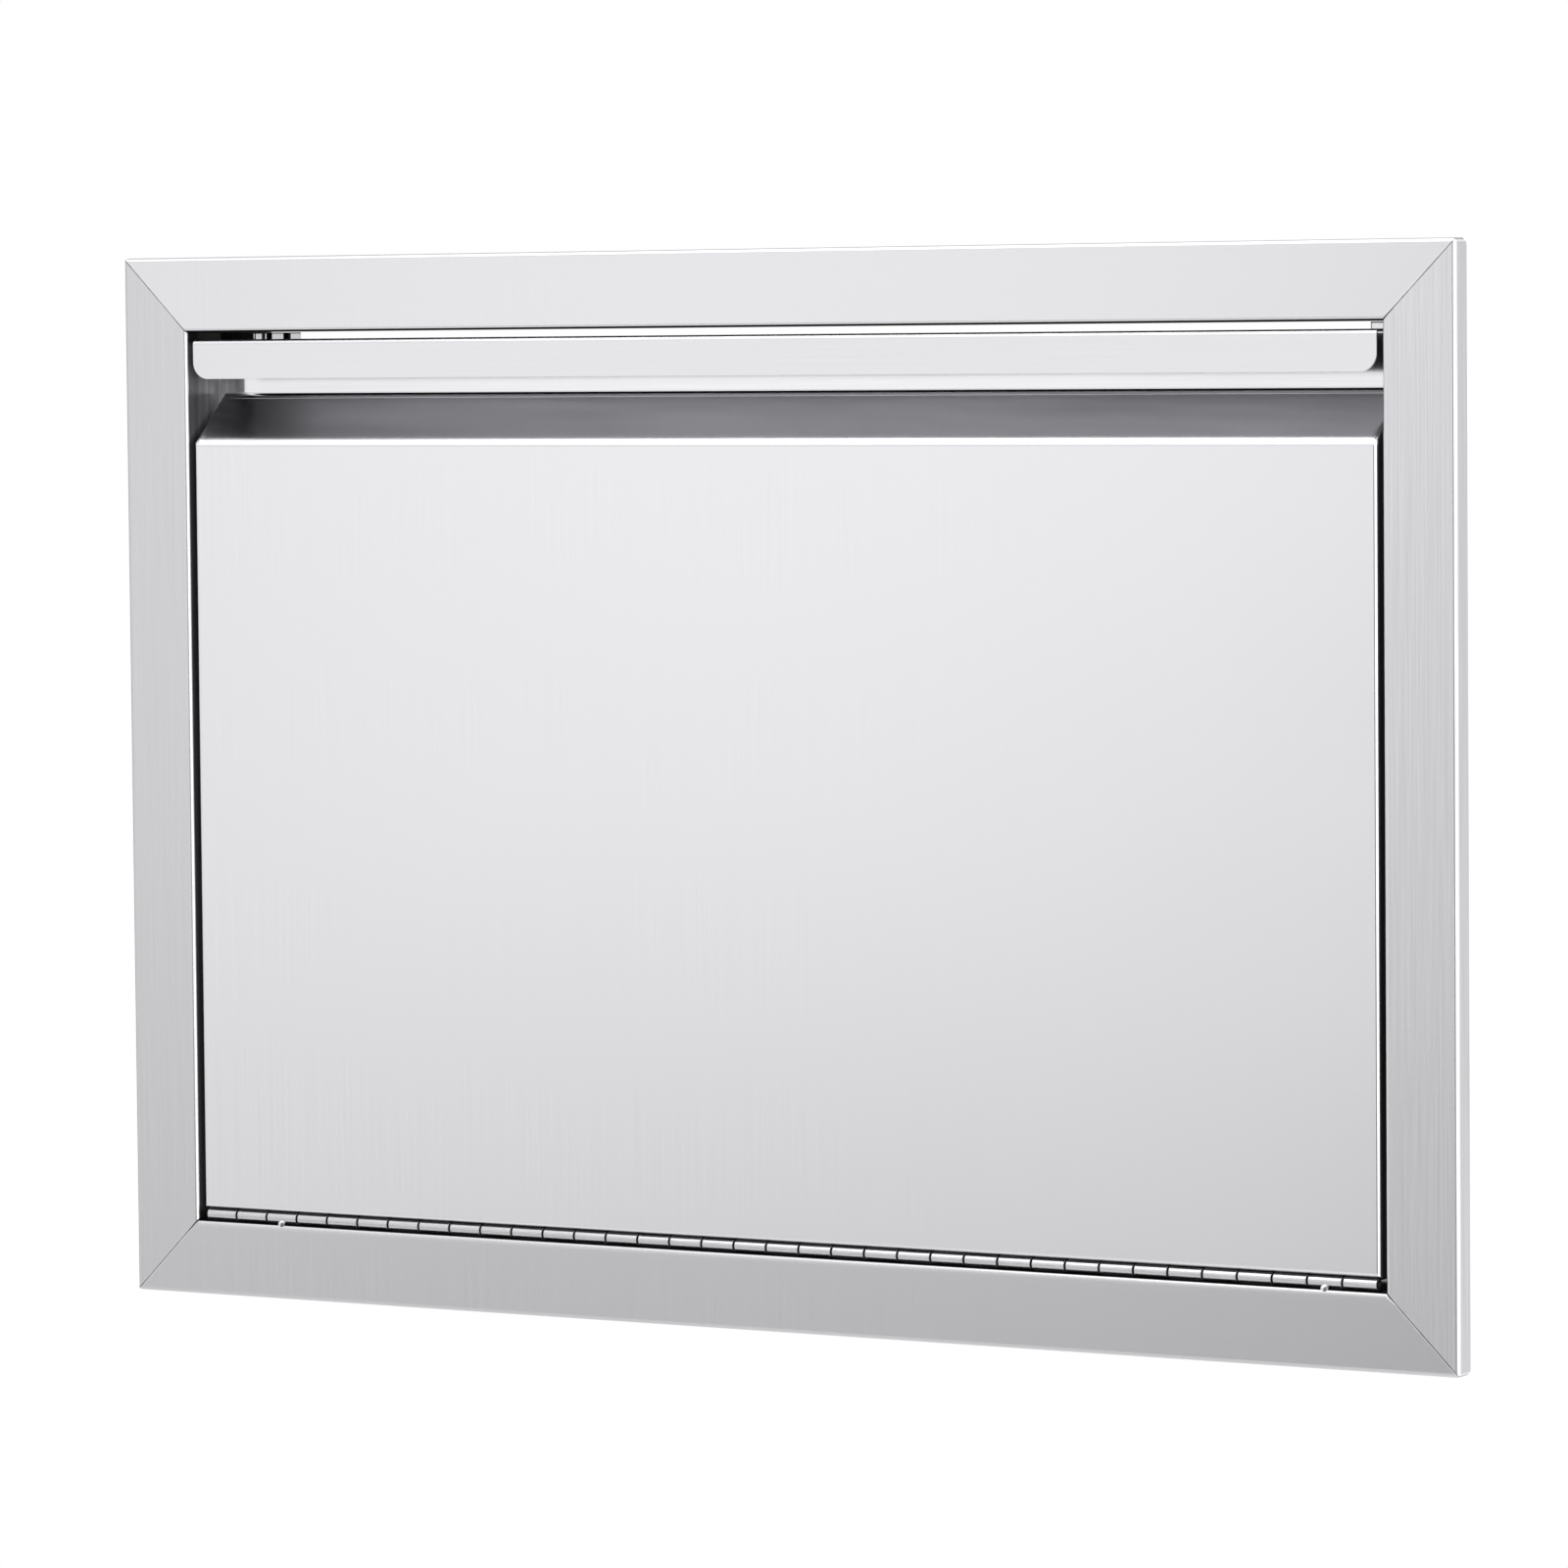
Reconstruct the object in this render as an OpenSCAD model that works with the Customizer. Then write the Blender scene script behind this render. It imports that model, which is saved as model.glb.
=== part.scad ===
// Drop-down access door of stainless steel for an outdoor kitchen.
// A mitred frame of folded sheet carries a hollow door on a continuous hinge along its
// lower edge. The top of the door is folded into a finger pull that spans its full width.
// X runs to the right, Y to the back and Z up. The origin lies under the middle of the frame.

/* [Frame] */
// Overall width of the frame
frame_w = 609.6; // [450:0.1:900]
// Overall height of the frame
frame_h = 431.8; // [300:0.1:700]
// Depth from the face of the frame to the rear edge of its jambs
frame_depth = 63.5; // [62:0.5:90]
// Width of the face of each rail and stile
flange_w = 31; // [24:0.5:45]
// Depth of the return around the outside of the face
flange_return = 9.5; // [6:0.5:14]
// Thickness of the frame sheet
frame_sheet = 1.2; // [0.8:0.1:1.6]
// Inside radius of the bends in the frame
frame_bend = 0.5; // [0.3:0.1:1]
// Rounding of the four outer corners, seen from the front
corner_r = 2; // [1:0.5:3]
// Rounding of the rear corners of the outer return
return_corner_r = 3; // [1:0.5:4]
// Width of the seam that stays open at each mitre
mitre_gap = 0.2; // [0.1:0.05:0.4]
// Radius of the weld bead behind each mitre
mitre_bead_r = 1.2; // [0.8:0.1:1.6]
// Radius of the weld bead outside each corner of the jambs
jamb_bead_r = 2.4; // [2:0.1:3]
// Distance from the rear edge of the jambs to the end of that bead
jamb_bead_end = 3; // [1:0.5:10]

/* [Frame screws] */
// Radius of the screw holes in the side jambs
screw_hole_r = 2.5; // [1.5:0.25:3.5]
// Distance between the two screw holes of one jamb
screw_spacing = 260; // [120:5:300]
// Depth of the screw holes behind the face
screw_depth = 46; // [34:1:55]

/* [Door] */
// Gap between the door and each side of the opening
side_gap = 2.7; // [2:0.1:4]
// Gap between the top of the door and the opening
top_gap = 3; // [2:0.1:4]
// Distance of the door face behind the frame face
door_setback = 1; // [0.6:0.1:1.3]
// Distance from the door face to the back wall of the finger pull
pull_depth = 21; // [18:0.5:26]
// Thickness of the door sheet
door_sheet = 0.9; // [0.7:0.1:1]
// Outside radius of the bends along the sides of the door
door_side_r = 1.5; // [1.2:0.1:2.5]
// Outside radius of the bend along the foot of the door
door_foot_r = 2; // [1.2:0.1:2.5]
// Outside radius of the bend from the door face into the slope
slope_r = 4; // [2:0.5:6]
// Height of the slope below the finger pull
slope_h = 19.2; // [15:0.1:24]

/* [Finger pull] */
// Height of the lip
lip_h = 16.3; // [12:0.1:22]
// Height of the open mouth between the lip and the slope
mouth_h = 7.2; // [5:0.1:14]
// Rounding of the lower corners of the lip
lip_corner_r = 7; // [2:0.5:10]
// Inside radius of the bends in the finger pull
pull_bend = 1.1; // [0.5:0.1:1.5]
// Length of the back wall below the slope, where the liner is riveted to it
pull_lap = 14; // [12:0.5:20]
// Seam between the slope and the back wall
pull_seam = 0.3; // [0.1:0.1:0.5]
// Radius of the hollow weld that closes this seam
seam_weld_r = 3.5; // [2:0.5:6]
// Thickness of that weld along its two edges
seam_weld_edge = 0.05; // [0.03:0.01:0.1]
// Length by which that weld runs through below the slope
seam_weld_root = 0.3; // [0:0.1:0.3]

/* [Liner] */
// Thickness of the liner sheet
liner_sheet = 0.8; // [0.6:0.1:1]
// Width of the flanges of the liner
liner_flange = 12; // [10:0.5:15]
// Clearance between the liner and the returns of the door
liner_fit = 0.1; // [0.05:0.05:0.2]
// Clearance between the top edge of the liner and the slope above it
liner_clear = 1; // [0.5:0.1:2]

/* [Hinge] */
// Radius of the hinge pin
pin_r = 1.2; // [1:0.05:1.4]
// Radial clearance of the pin in its knuckles
pin_fit = 0.05; // [0.02:0.01:0.1]
// Thickness of both hinge leaves
leaf_sheet = 0.95; // [0.8:0.05:1.1]
// Offset of each leaf outside the round of its knuckles
leaf_swage = 0.3; // [0.1:0.05:0.5]
// Distance of the front of the knuckles behind the frame face
knuckle_setback = 0.7; // [0.5:0.05:1]
// Distance from each side of the door to the end of the hinge
hinge_inset = 1.1; // [0.5:0.1:5]
// Length wanted for one knuckle with its gap; a whole even number of knuckles fills the hinge
knuckle_len = 15; // [10:0.5:30]
// Gap between neighbouring knuckles
knuckle_gap = 0.5; // [0.3:0.1:1]
// Slit between the curled end of each knuckle and its leaf
curl_gap = 0.15; // [0.1:0.05:0.3]
// Clearance of each leaf around the knuckles of the other one
knuckle_clear = 0.35; // [0.3:0.05:0.6]
// Distance from the hinge axis to the rear edge of the leaf on the frame
frame_leaf_w = 21; // [17:0.5:25]
// Distance from the hinge axis to the rear edge of the leaf on the door
door_leaf_w = 18; // [15.5:0.5:18]
// Radius of the drops of weld that hold the end knuckles to the frame, seen from the front
tack_r = 1.65; // [1.3:0.05:1.9]
// Radius of the round front of each drop
tack_dome_r = 2.6; // [2.2:0.1:3]
// Distance of that front behind the frame face
tack_setback = 0.03; // [0.02:0.01:0.1]

/* [Rivets] */
// Radius of the rivet shanks
rivet_r = 1.6; // [1.2:0.1:2]
// Radius of the rivet heads
rivet_head_r = 3; // [2.5:0.1:3.4]
// Height of the rivet heads
rivet_head_h = 1; // [0.7:0.05:1.1]
// Radius of the closed ends of the rivets
rivet_tail_r = 2.4; // [2.1:0.1:2.8]
// Height of the closed ends of the rivets
rivet_tail_h = 1.3; // [0.8:0.1:1.6]
// Radial clearance of the rivets in their holes
rivet_fit = 0.05; // [0.02:0.01:0.1]
// Distance from the hinge axis to the rivets of the leaves
leaf_rivet_y = 12; // [9.5:0.25:12]
// Number of rivets in the leaf on the frame
frame_rivets = 7; // [3:1:11]
// Number of rivets along the top of the liner
liner_rivets_n = 5; // [3:1:9]
// Distance from each end of the hinge to its first rivet
rivet_inset = 30; // [20:1:60]

/* [Catches] */
// Width of a catch housing, from the jamb inwards
catch_w = 17.2; // [15:0.1:20]
// Length of a catch housing
catch_len = 35.5; // [33:0.5:36]
// Height of a catch housing
catch_h = 15.5; // [13:0.5:18]
// Gap between the catch and the top of the opening
catch_top_gap = 0.3; // [0.2:0.1:2]
// Gap between the pole plates and the strike on the closed door
catch_gap = 0.3; // [0.3:0.1:0.6]
// Distance that the pole plates stand out of the housing
pole_proud = 0.7; // [0.4:0.1:1]
// Thickness of a pole plate
pole_sheet = 1.5; // [1:0.1:2]
// Height of the pole plates and the magnet
pole_h = 10; // [8:0.5:10]
// Width of the magnet between its pole plates
magnet_w = 6.8; // [4:0.1:7.5]
// Depth of the pocket that holds the magnet
pocket_depth = 7.4; // [6:0.1:7.6]
// Play of the magnet and its pole plates in the pocket
pocket_play = 0.4; // [0.2:0.1:0.5]
// Thickness of the floor below the pocket
pocket_floor = 2.2; // [1.5:0.1:2.5]
// Radius of the catch screws
catch_screw_r = 1.95; // [1.4:0.05:2.2]
// Radial clearance of the catch screws
catch_screw_fit = 0.15; // [0.05:0.05:0.25]
// Radius of the catch screw heads
catch_head_r = 3.6; // [3:0.1:4]
// Height of the catch screw heads
catch_head_h = 2.4; // [1.5:0.1:3]
// Distance from the front of the housing to its first screw
catch_screw_1 = 10.7; // [10.5:0.1:12]
// Distance between the two screws of a catch
catch_screw_pitch = 12.6; // [9:0.1:16]
// Height of the catch screws above the foot of the housing
catch_screw_z = 7.2; // [5:0.1:9]
// Distance across the flats of the catch nuts
nut_flats = 7; // [6:0.5:8]
// Thickness of the catch nuts
nut_t = 3.2; // [2:0.1:4]
// Length of the catch screws past their nuts
screw_end = 1.3; // [0.5:0.1:3]
// Radial clearance of the nuts on their screws
thread_fit = 0.05; // [0.02:0.01:0.1]
// Rounding of the upright edges of a catch housing
catch_edge_r = 1.5; // [0.5:0.1:2]

/* [Strikes] */
// Thickness of a strike plate
strike_sheet = 1.5; // [1:0.1:2]
// Width of a strike plate
strike_w = 11.4; // [10:0.1:11.7]
// Height of a strike plate
strike_h = 26; // [24:0.5:34]
// Rounding of the corners of a strike plate
strike_r = 1.5; // [0.5:0.1:3]
// Distance from the top of the door to the top of a strike plate
strike_drop = 2.6; // [2.2:0.1:4]

/* [Hidden] */
$fn = 48;
// Segments of the circle that hollows the seam weld, whose thin section needs a finer one
hollow_fn = 240;

// Opening of the frame
open_x = frame_w / 2 - flange_w;
open_foot = flange_w;
open_head = frame_h - flange_w;
outer_bend = frame_bend + frame_sheet;

// Length by which a cutting shape runs past the surface that it cuts
over = 0.5;

// Hinge, seen from its end
barrel_r = pin_r + pin_fit + leaf_sheet;
hinge_y = knuckle_setback + barrel_r;
hinge_z = open_foot + barrel_r + leaf_swage;

// Door
door_x = open_x - side_gap;
face_y = door_setback;
wall_y = face_y + pull_depth;
back_y = wall_y + door_sheet;
door_foot = hinge_z + barrel_r + leaf_swage;
door_head = open_head - top_gap;
lip_foot = door_head - lip_h;
slope_head = lip_foot - mouth_h;
slope_foot = slope_head - slope_h;
slope_angle = atan2(slope_h, pull_depth);
pull_foot = slope_head - pull_lap;
pull_outer_bend = pull_bend + door_sheet;

// Liner, inside the returns of the door
liner_x = door_x - door_sheet - liner_fit;
liner_foot = door_foot + door_sheet + liner_fit;
liner_drop = door_sheet + liner_clear;
liner_front = wall_y - liner_flange;
liner_r = liner_sheet + 0.5;

// Knuckles of the hinge, an even number
hinge_x = door_x - hinge_inset;
knuckles = 2 * round(hinge_x / knuckle_len);
knuckle_pitch = 2 * hinge_x / knuckles;

// Rivets: those of the door leaf lie halfway between those of the frame leaf
rivet_span = 2 * (hinge_x - rivet_inset);
rivet_y = hinge_y + leaf_rivet_y;
frame_rivet_xs = spread(frame_rivets, rivet_span);
door_rivet_xs = [
    for (i = [1:frame_rivets - 1]) (frame_rivet_xs[i - 1] + frame_rivet_xs[i]) / 2
];
liner_rivet_xs = spread(liner_rivets_n, rivet_span - 2 * rivet_inset);
liner_rivet_z = (pull_foot + slope_head - liner_drop / cos(slope_angle)) / 2;

// Catches, in the upper corners behind the door
catch_x = open_x - catch_w;
catch_foot = open_head - catch_top_gap - catch_h;
pole_y = back_y + strike_sheet + catch_gap;
catch_y = pole_y + pole_proud;
catch_mid = open_x - catch_w / 2;
pocket_w = magnet_w + 2 * (pole_sheet + pocket_play);
pole_z = catch_foot + pocket_floor;
screw_z = catch_foot + catch_screw_z;
screw_ys = [for (i = [0, 1]) catch_y + catch_screw_1 + i * catch_screw_pitch];
slot_r = catch_screw_r + catch_screw_fit;

// Strikes, on the back wall of the finger pull
strike_x = catch_mid - strike_w / 2;
strike_head = door_head - strike_drop;

function spread(count, span) = [for (i = [0:count - 1]) -span / 2 + i * span / (count - 1)];

// Draws a profile of the Y and Z axes and extrudes it along X.
module along_x(from, to) {
    translate([from, 0, 0]) rotate([90, 0, 90]) linear_extrude(to - from) children();
}

// Draws an outline of the X and Z axes and extrudes it along Y.
module along_y(from, to) {
    translate([0, to, 0]) rotate([90, 0, 0]) linear_extrude(to - from) children();
}

// Moves a model whose Y starts at the frame face so that the origin lies under its middle.
module in_place() {
    translate([0, -frame_depth / 2, 0]) children();
}

// Repeats a shape on both sides; the side is -1 on the left and 1 on the right.
module on_side(side) {
    mirror([side < 0 ? 1 : 0, 0, 0]) children();
}

// A sector of a ring, from angle 0 up to the given angle.
module ring_sector(inner, outer, angle) {
    reach = 2 * outer;
    intersection() {
        difference() {
            circle(outer);
            circle(inner);
        }
        polygon([[0, 0], for (a = [0, angle / 2, angle]) reach * [cos(a), sin(a)]]);
    }
}

// Sheet folded to the right: straight legs, with a bend of the given angle after each but the last.
module folded(sheet, inside_r, legs, bends, i = 0) {
    translate([0, -sheet]) square([legs[i], sheet]);
    if (i < len(bends)) {
        translate([legs[i], -sheet - inside_r]) rotate(-bends[i]) {
            rotate(90) ring_sector(inside_r, inside_r + sheet, bends[i]);
            translate([0, sheet + inside_r]) folded(sheet, inside_r, legs, bends, i + 1);
        }
    }
}

function unit(v) = v / norm(v);

// A convex outline whose corners are rounded by true arcs; its points run counter-clockwise.
module rounded(points, radii) {
    n = len(points);
    to_next = [for (i = [0:n - 1]) unit(points[(i + 1) % n] - points[i])];
    to_last = [for (i = [0:n - 1]) unit(points[(i + n - 1) % n] - points[i])];
    half = [for (i = [0:n - 1]) acos(to_next[i] * to_last[i]) / 2];
    run = [for (i = [0:n - 1]) radii[i] / tan(half[i])];
    polygon([
        for (i = [0:n - 1])
            for (dir = radii[i] > 0 ? [to_last[i], to_next[i]] : [[0, 0]])
                points[i] + run[i] * dir
    ]);
    for (i = [0:n - 1])
        if (radii[i] > 0)
            translate(points[i] + radii[i] / sin(half[i]) * unit(to_next[i] + to_last[i]))
                circle(radii[i]);
}

// The square corner that a rounding of radius r takes away, with the rounding's centre at the origin.
module corner_waste(r) {
    difference() {
        square(r + 1);
        circle(r);
    }
}

// Cross-section of every rail and stile: Y is the depth, and Z the way in from the outside.
module rail_section() {
    translate([flange_return, 0]) rotate(180) folded(
        frame_sheet, frame_bend,
        [flange_return - outer_bend, flange_w - 2 * outer_bend, frame_depth - outer_bend],
        [90, 90]
    );
}

// One rail with mitred ends, lying along X with its outside at Z = 0.
module mitred_rail(length) {
    half = length / 2;
    seam = mitre_gap * sqrt(2) / 2;
    difference() {
        intersection() {
            along_x(-half, half) rail_section();
            along_y(-1, frame_depth + 1) intersection() {
                polygon([
                    [seam - half, 0], [half - seam, 0],
                    [half - seam - flange_w, flange_w], [seam - half + flange_w, flange_w]
                ]);
                rounded(
                    [[-half, 0], [half, 0], [half, length], [-half, length]],
                    [corner_r, corner_r, 0, 0]
                );
            }
        }
        for (side = [-1, 1]) on_side(side)
            translate([half - return_corner_r, flange_return - return_corner_r, -1])
                linear_extrude(frame_sheet + frame_bend + 1) corner_waste(return_corner_r);
    }
}

// Puts a rail at the foot (0), left (90), head (180) or right (-90) of the frame.
module rail_at(turn, length, reach) {
    translate([0, 0, frame_h / 2]) rotate([0, turn, 0]) translate([0, 0, -reach / 2])
        mitred_rail(length);
}

module frame_top_rail() {
    color("#d4d6d7") in_place() rail_at(180, frame_w, frame_h);
}

module frame_bottom_rail() {
    color("#c9cbcc") in_place() difference() {
        rail_at(0, frame_w, frame_h);
        leaf_rivet_holes(frame_rivet_xs, open_foot - frame_sheet, open_foot);
    }
}

module frame_left_stile() {
    color("#ced0d1") in_place() stile(-1);
}

module frame_right_stile() {
    color("#d0d2d3") in_place() stile(1);
}

module stile(side) {
    difference() {
        rail_at(-90 * side, frame_h, frame_w);
        on_side(side) jamb_holes();
    }
}

// Holes in the right-hand jamb: two for the screws into the wall, two for the catch.
module jamb_holes() {
    for (end = [-1, 1])
        translate([open_x, screw_depth, frame_h / 2 + end * screw_spacing / 2])
            rotate([0, 90, 0]) cylinder(r = screw_hole_r, h = 4 * frame_sheet, center = true);
    for (y = screw_ys)
        translate([open_x, y, screw_z])
            rotate([0, 90, 0]) cylinder(r = slot_r, h = 4 * frame_sheet, center = true);
}

// One bead behind the mitre and along the outside of the jambs, for the lower right corner.
module corner_bead() {
    jamb_in = flange_w - frame_sheet;
    mitre_from = 2 * outer_bend;
    mitre_to = jamb_in - frame_bend - 0.75 * mitre_bead_r;
    translate([frame_w / 2 - mitre_from, frame_sheet, mitre_from]) rotate([0, -45, 0])
        linear_extrude((mitre_to - mitre_from) * sqrt(2)) intersection() {
            circle(mitre_bead_r);
            translate([-mitre_bead_r, 0]) square(2 * mitre_bead_r);
        }
    translate([frame_w / 2 - jamb_in, 0, jamb_in])
        along_y(outer_bend, frame_depth - jamb_bead_end) difference() {
            circle(jamb_bead_r);
            translate([-2 * jamb_bead_r, 0]) square(2 * jamb_bead_r);
        }
}

module corner_welds() {
    color("#9a9ea0") in_place() for (side = [-1, 1], end = [0, 1]) on_side(side)
        translate([0, 0, end * frame_h]) mirror([0, 0, end]) corner_bead();
}

// Places along the hinge where one leaf has its knuckles; the frame leaf takes the first one.
function knuckle_starts(first) =
    [for (i = [first:2:knuckles - 1]) -hinge_x + i * knuckle_pitch + knuckle_gap / 2];

// One leaf below the hinge axis: the knuckles, each curled forward and over until its end
// comes back to the leaf, and the strip that is notched for the knuckles of the other leaf.
// Y and Z are measured from the hinge axis, and the strip runs back to the given width.
module leaf(first, width) {
    strip_foot = -barrel_r - leaf_swage;
    curl_end = -asin((-strip_foot - leaf_sheet - curl_gap) / barrel_r);
    difference() {
        union() {
            for (x = knuckle_starts(first)) along_x(x, x + knuckle_pitch - knuckle_gap) {
                circle(barrel_r);
                translate([0, strip_foot]) square([width, leaf_sheet]);
            }
            along_x(-hinge_x + knuckle_gap / 2, hinge_x - knuckle_gap / 2)
                translate([barrel_r + knuckle_clear, strip_foot])
                    square([width - barrel_r - knuckle_clear, leaf_sheet]);
        }
        along_x(-hinge_x - 1, hinge_x + 1) {
            circle(pin_r + pin_fit);
            rotate(curl_end) translate([pin_r, 0])
                square([barrel_r - pin_r + curl_gap / 2, curl_gap]);
        }
    }
}

module hinge_frame_leaf() {
    color("#c4c7c8") in_place() difference() {
        translate([0, hinge_y, hinge_z]) leaf(0, frame_leaf_w);
        leaf_rivet_holes(frame_rivet_xs, open_foot, open_foot + leaf_sheet);
    }
}

module hinge_door_leaf() {
    color("#cdd0d1") in_place() difference() {
        translate([0, hinge_y, hinge_z]) mirror([0, 0, 1]) leaf(1, door_leaf_w);
        leaf_rivet_holes(door_rivet_xs, door_foot - leaf_sheet, door_foot);
    }
}

module hinge_pin() {
    color("#a7abad") in_place() translate([0, hinge_y, hinge_z])
        rotate([0, 90, 0]) cylinder(r = pin_r, h = 2 * hinge_x, center = true);
}

// Drops of weld between the frame and the second knuckle from each end of its leaf. Their
// fronts lean back above the frame, so the foot of the open door clears them.
module hinge_tack_welds() {
    starts = knuckle_starts(0);
    half_knuckle = (knuckle_pitch - knuckle_gap) / 2;
    color("#e2e4e5") in_place() for (x = [starts[1], starts[len(starts) - 1]])
        translate([x + half_knuckle, 0, open_foot]) difference() {
            intersection() {
                along_y(0, hinge_y - barrel_r / 2) translate([0, tack_r / 8]) circle(tack_r);
                translate([0, tack_setback + tack_dome_r, -tack_r / 4]) sphere(tack_dome_r);
            }
            along_x(-2 * tack_r, 2 * tack_r) {
                translate([hinge_y, hinge_z - open_foot]) circle(barrel_r);
                translate([outer_bend, -outer_bend]) circle(outer_bend);
                translate([outer_bend, -outer_bend]) square([hinge_y, outer_bend]);
                translate([0, -outer_bend - 2 * tack_r]) square([hinge_y, 2 * tack_r]);
            }
        }
}

// A blind rivet: its head lies below Z = 0, and its closed end above the given grip.
module rivet(grip) {
    dome_r = (rivet_head_r * rivet_head_r + rivet_head_h * rivet_head_h) / (2 * rivet_head_h);
    rotate_extrude() {
        intersection() {
            translate([0, dome_r - rivet_head_h]) circle(dome_r);
            translate([0, -rivet_head_h]) square([rivet_head_r, rivet_head_h]);
        }
        square([rivet_r, grip]);
        translate([0, grip]) square([rivet_tail_r, rivet_tail_h]);
    }
}

// Holes for the rivets of a hinge leaf, through the given heights.
module leaf_rivet_holes(xs, from, to) {
    for (x = xs)
        translate([x, rivet_y, from - over]) cylinder(r = rivet_r + rivet_fit, h = to - from + 2 * over);
}

// Holes for the rivets along the top of the liner, through the given depths.
module liner_rivet_holes(from, to) {
    for (x = liner_rivet_xs)
        translate([x, from - over, liner_rivet_z])
            rotate([-90, 0, 0]) cylinder(r = rivet_r + rivet_fit, h = to - from + 2 * over);
}

module hinge_frame_rivets() {
    color("#b4b7b9") in_place() for (x = frame_rivet_xs)
        translate([x, rivet_y, open_foot + leaf_sheet]) mirror([0, 0, 1])
            rivet(leaf_sheet + frame_sheet);
}

module hinge_door_rivets() {
    color("#b4b7b9") in_place() for (x = door_rivet_xs)
        translate([x, rivet_y, door_foot - leaf_sheet])
            rivet(leaf_sheet + door_sheet + liner_fit + liner_sheet);
}

module liner_rivets() {
    color("#b4b7b9") in_place() for (x = liner_rivet_xs)
        translate([x, back_y, liner_rivet_z]) rotate([90, 0, 0]) rivet(door_sheet + liner_sheet);
}

// Height of the slope at a given depth, or of a surface that lies a given way below it.
function slope_z(y, inset) =
    slope_foot + (y - face_y) * tan(slope_angle) - inset / cos(slope_angle);

// The door as a block, made smaller by an inset all round but for its open rear.
module door_block(inset, rear) {
    x = door_x - inset;
    front = face_y + inset;
    foot = door_foot + inset;
    side_r = door_side_r - inset;
    intersection() {
        along_x(-x, x) rounded(
            [[front, foot], [rear, foot], [rear, slope_z(rear, inset)], [front, slope_z(front, inset)]],
            [door_foot_r - inset, 0, 0, slope_r - inset]
        );
        linear_extrude(door_head)
            rounded([[-x, front], [x, front], [x, rear], [-x, rear]], [side_r, side_r, 0, 0]);
        translate([0, front, slope_z(front, inset)]) rotate([slope_angle, 0, 0])
            along_y(-frame_h, frame_h)
                rounded([[-x, -frame_h], [x, -frame_h], [x, 0], [-x, 0]], [0, 0, side_r, side_r]);
    }
}

// Outer skin of the door: face, side returns, foot and the slope into the finger pull.
module door_panel() {
    color("#dcdedf") in_place() difference() {
        door_block(0, wall_y - pull_seam);
        door_block(door_sheet, wall_y + 1);
        leaf_rivet_holes(door_rivet_xs, door_foot, door_foot + door_sheet);
    }
}

// Finger pull: the lip in front, the shelf over the fingers and the back wall down to the liner.
module door_pull() {
    color("#e0e2e3") in_place() difference() {
        along_x(-door_x, door_x) translate([face_y, lip_foot]) rotate(90) folded(
            door_sheet, pull_bend,
            [
                lip_h - pull_outer_bend,
                back_y - face_y - 2 * pull_outer_bend,
                door_head - pull_foot - pull_outer_bend
            ],
            [90, 90]
        );
        for (side = [-1, 1]) on_side(side)
            translate([door_x - lip_corner_r, 0, lip_foot + lip_corner_r])
                along_y(face_y - 1, face_y + pull_outer_bend) mirror([0, 1]) corner_waste(lip_corner_r);
        liner_rivet_holes(wall_y, back_y);
    }
}

// Weld that fills the seam between the slope and the back wall, dressed to a smooth hollow.
// Its section is drawn from that corner: up the wall, down the slope and through the seam.
module pull_seam_weld() {
    leg = seam_weld_r * tan((90 - slope_angle) / 2);
    down_slope = -[cos(slope_angle), sin(slope_angle)];
    off_slope = [-sin(slope_angle), cos(slope_angle)];
    edge = 2 * seam_weld_edge;
    seam_top = -pull_seam * tan(slope_angle);
    seam_foot = seam_top - door_sheet / cos(slope_angle) - seam_weld_root;
    weld_x = door_x - door_side_r;
    color("#d8dadb") in_place() along_x(-weld_x, weld_x) translate([wall_y, slope_head])
        difference() {
            polygon([
                [0, leg], [-edge, leg],
                leg * down_slope + edge * off_slope, leg * down_slope,
                [-pull_seam, seam_top], [-pull_seam, seam_foot], [0, seam_foot]
            ]);
            translate([-seam_weld_r, leg]) circle(seam_weld_r - seam_weld_edge, $fn = hollow_fn);
        }
}

// The liner as a block, made smaller by an inset and lengthened towards its open front and top.
module liner_block(inset, longer) {
    x = liner_x - inset;
    front = liner_front - longer;
    rear = wall_y - inset;
    foot = liner_foot + inset;
    bend_r = liner_r - inset;
    intersection() {
        along_x(-x, x) rounded(
            [
                [front, foot], [rear, foot],
                [rear, slope_z(rear, liner_drop) + longer], [front, slope_z(front, liner_drop) + longer]
            ],
            [0, bend_r, 0, 0]
        );
        linear_extrude(door_head)
            rounded([[-x, front], [x, front], [x, rear], [-x, rear]], [0, 0, bend_r, bend_r]);
    }
}

// Rear pan of the door, whose flanges lie inside the returns of the skin.
module door_liner() {
    color("#c6c9ca") in_place() difference() {
        liner_block(0, 0);
        liner_block(liner_sheet, 2);
        leaf_rivet_holes(door_rivet_xs, liner_foot, liner_foot + liner_sheet);
        liner_rivet_holes(wall_y - liner_sheet, wall_y);
    }
}

// The right-hand catch housing, with a pocket in front and two slots that open upwards.
module catch_housing() {
    difference() {
        translate([0, 0, catch_foot]) linear_extrude(catch_h) rounded(
            [
                [catch_x, catch_y], [open_x, catch_y],
                [open_x, catch_y + catch_len], [catch_x, catch_y + catch_len]
            ],
            [catch_edge_r, 0, 0, catch_edge_r]
        );
        translate([catch_mid - pocket_w / 2, catch_y - 1, pole_z])
            cube([pocket_w, pocket_depth + 1, pole_h + pocket_play]);
        for (y = screw_ys) along_x(catch_x - 1, open_x + 1) translate([y, screw_z]) {
            circle(slot_r);
            translate([-slot_r, 0]) square([2 * slot_r, catch_h]);
        }
    }
}

module catch_housing_left() {
    color("#b9bcbe") in_place() on_side(-1) catch_housing();
}

module catch_housing_right() {
    color("#b9bcbe") in_place() catch_housing();
}

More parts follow.
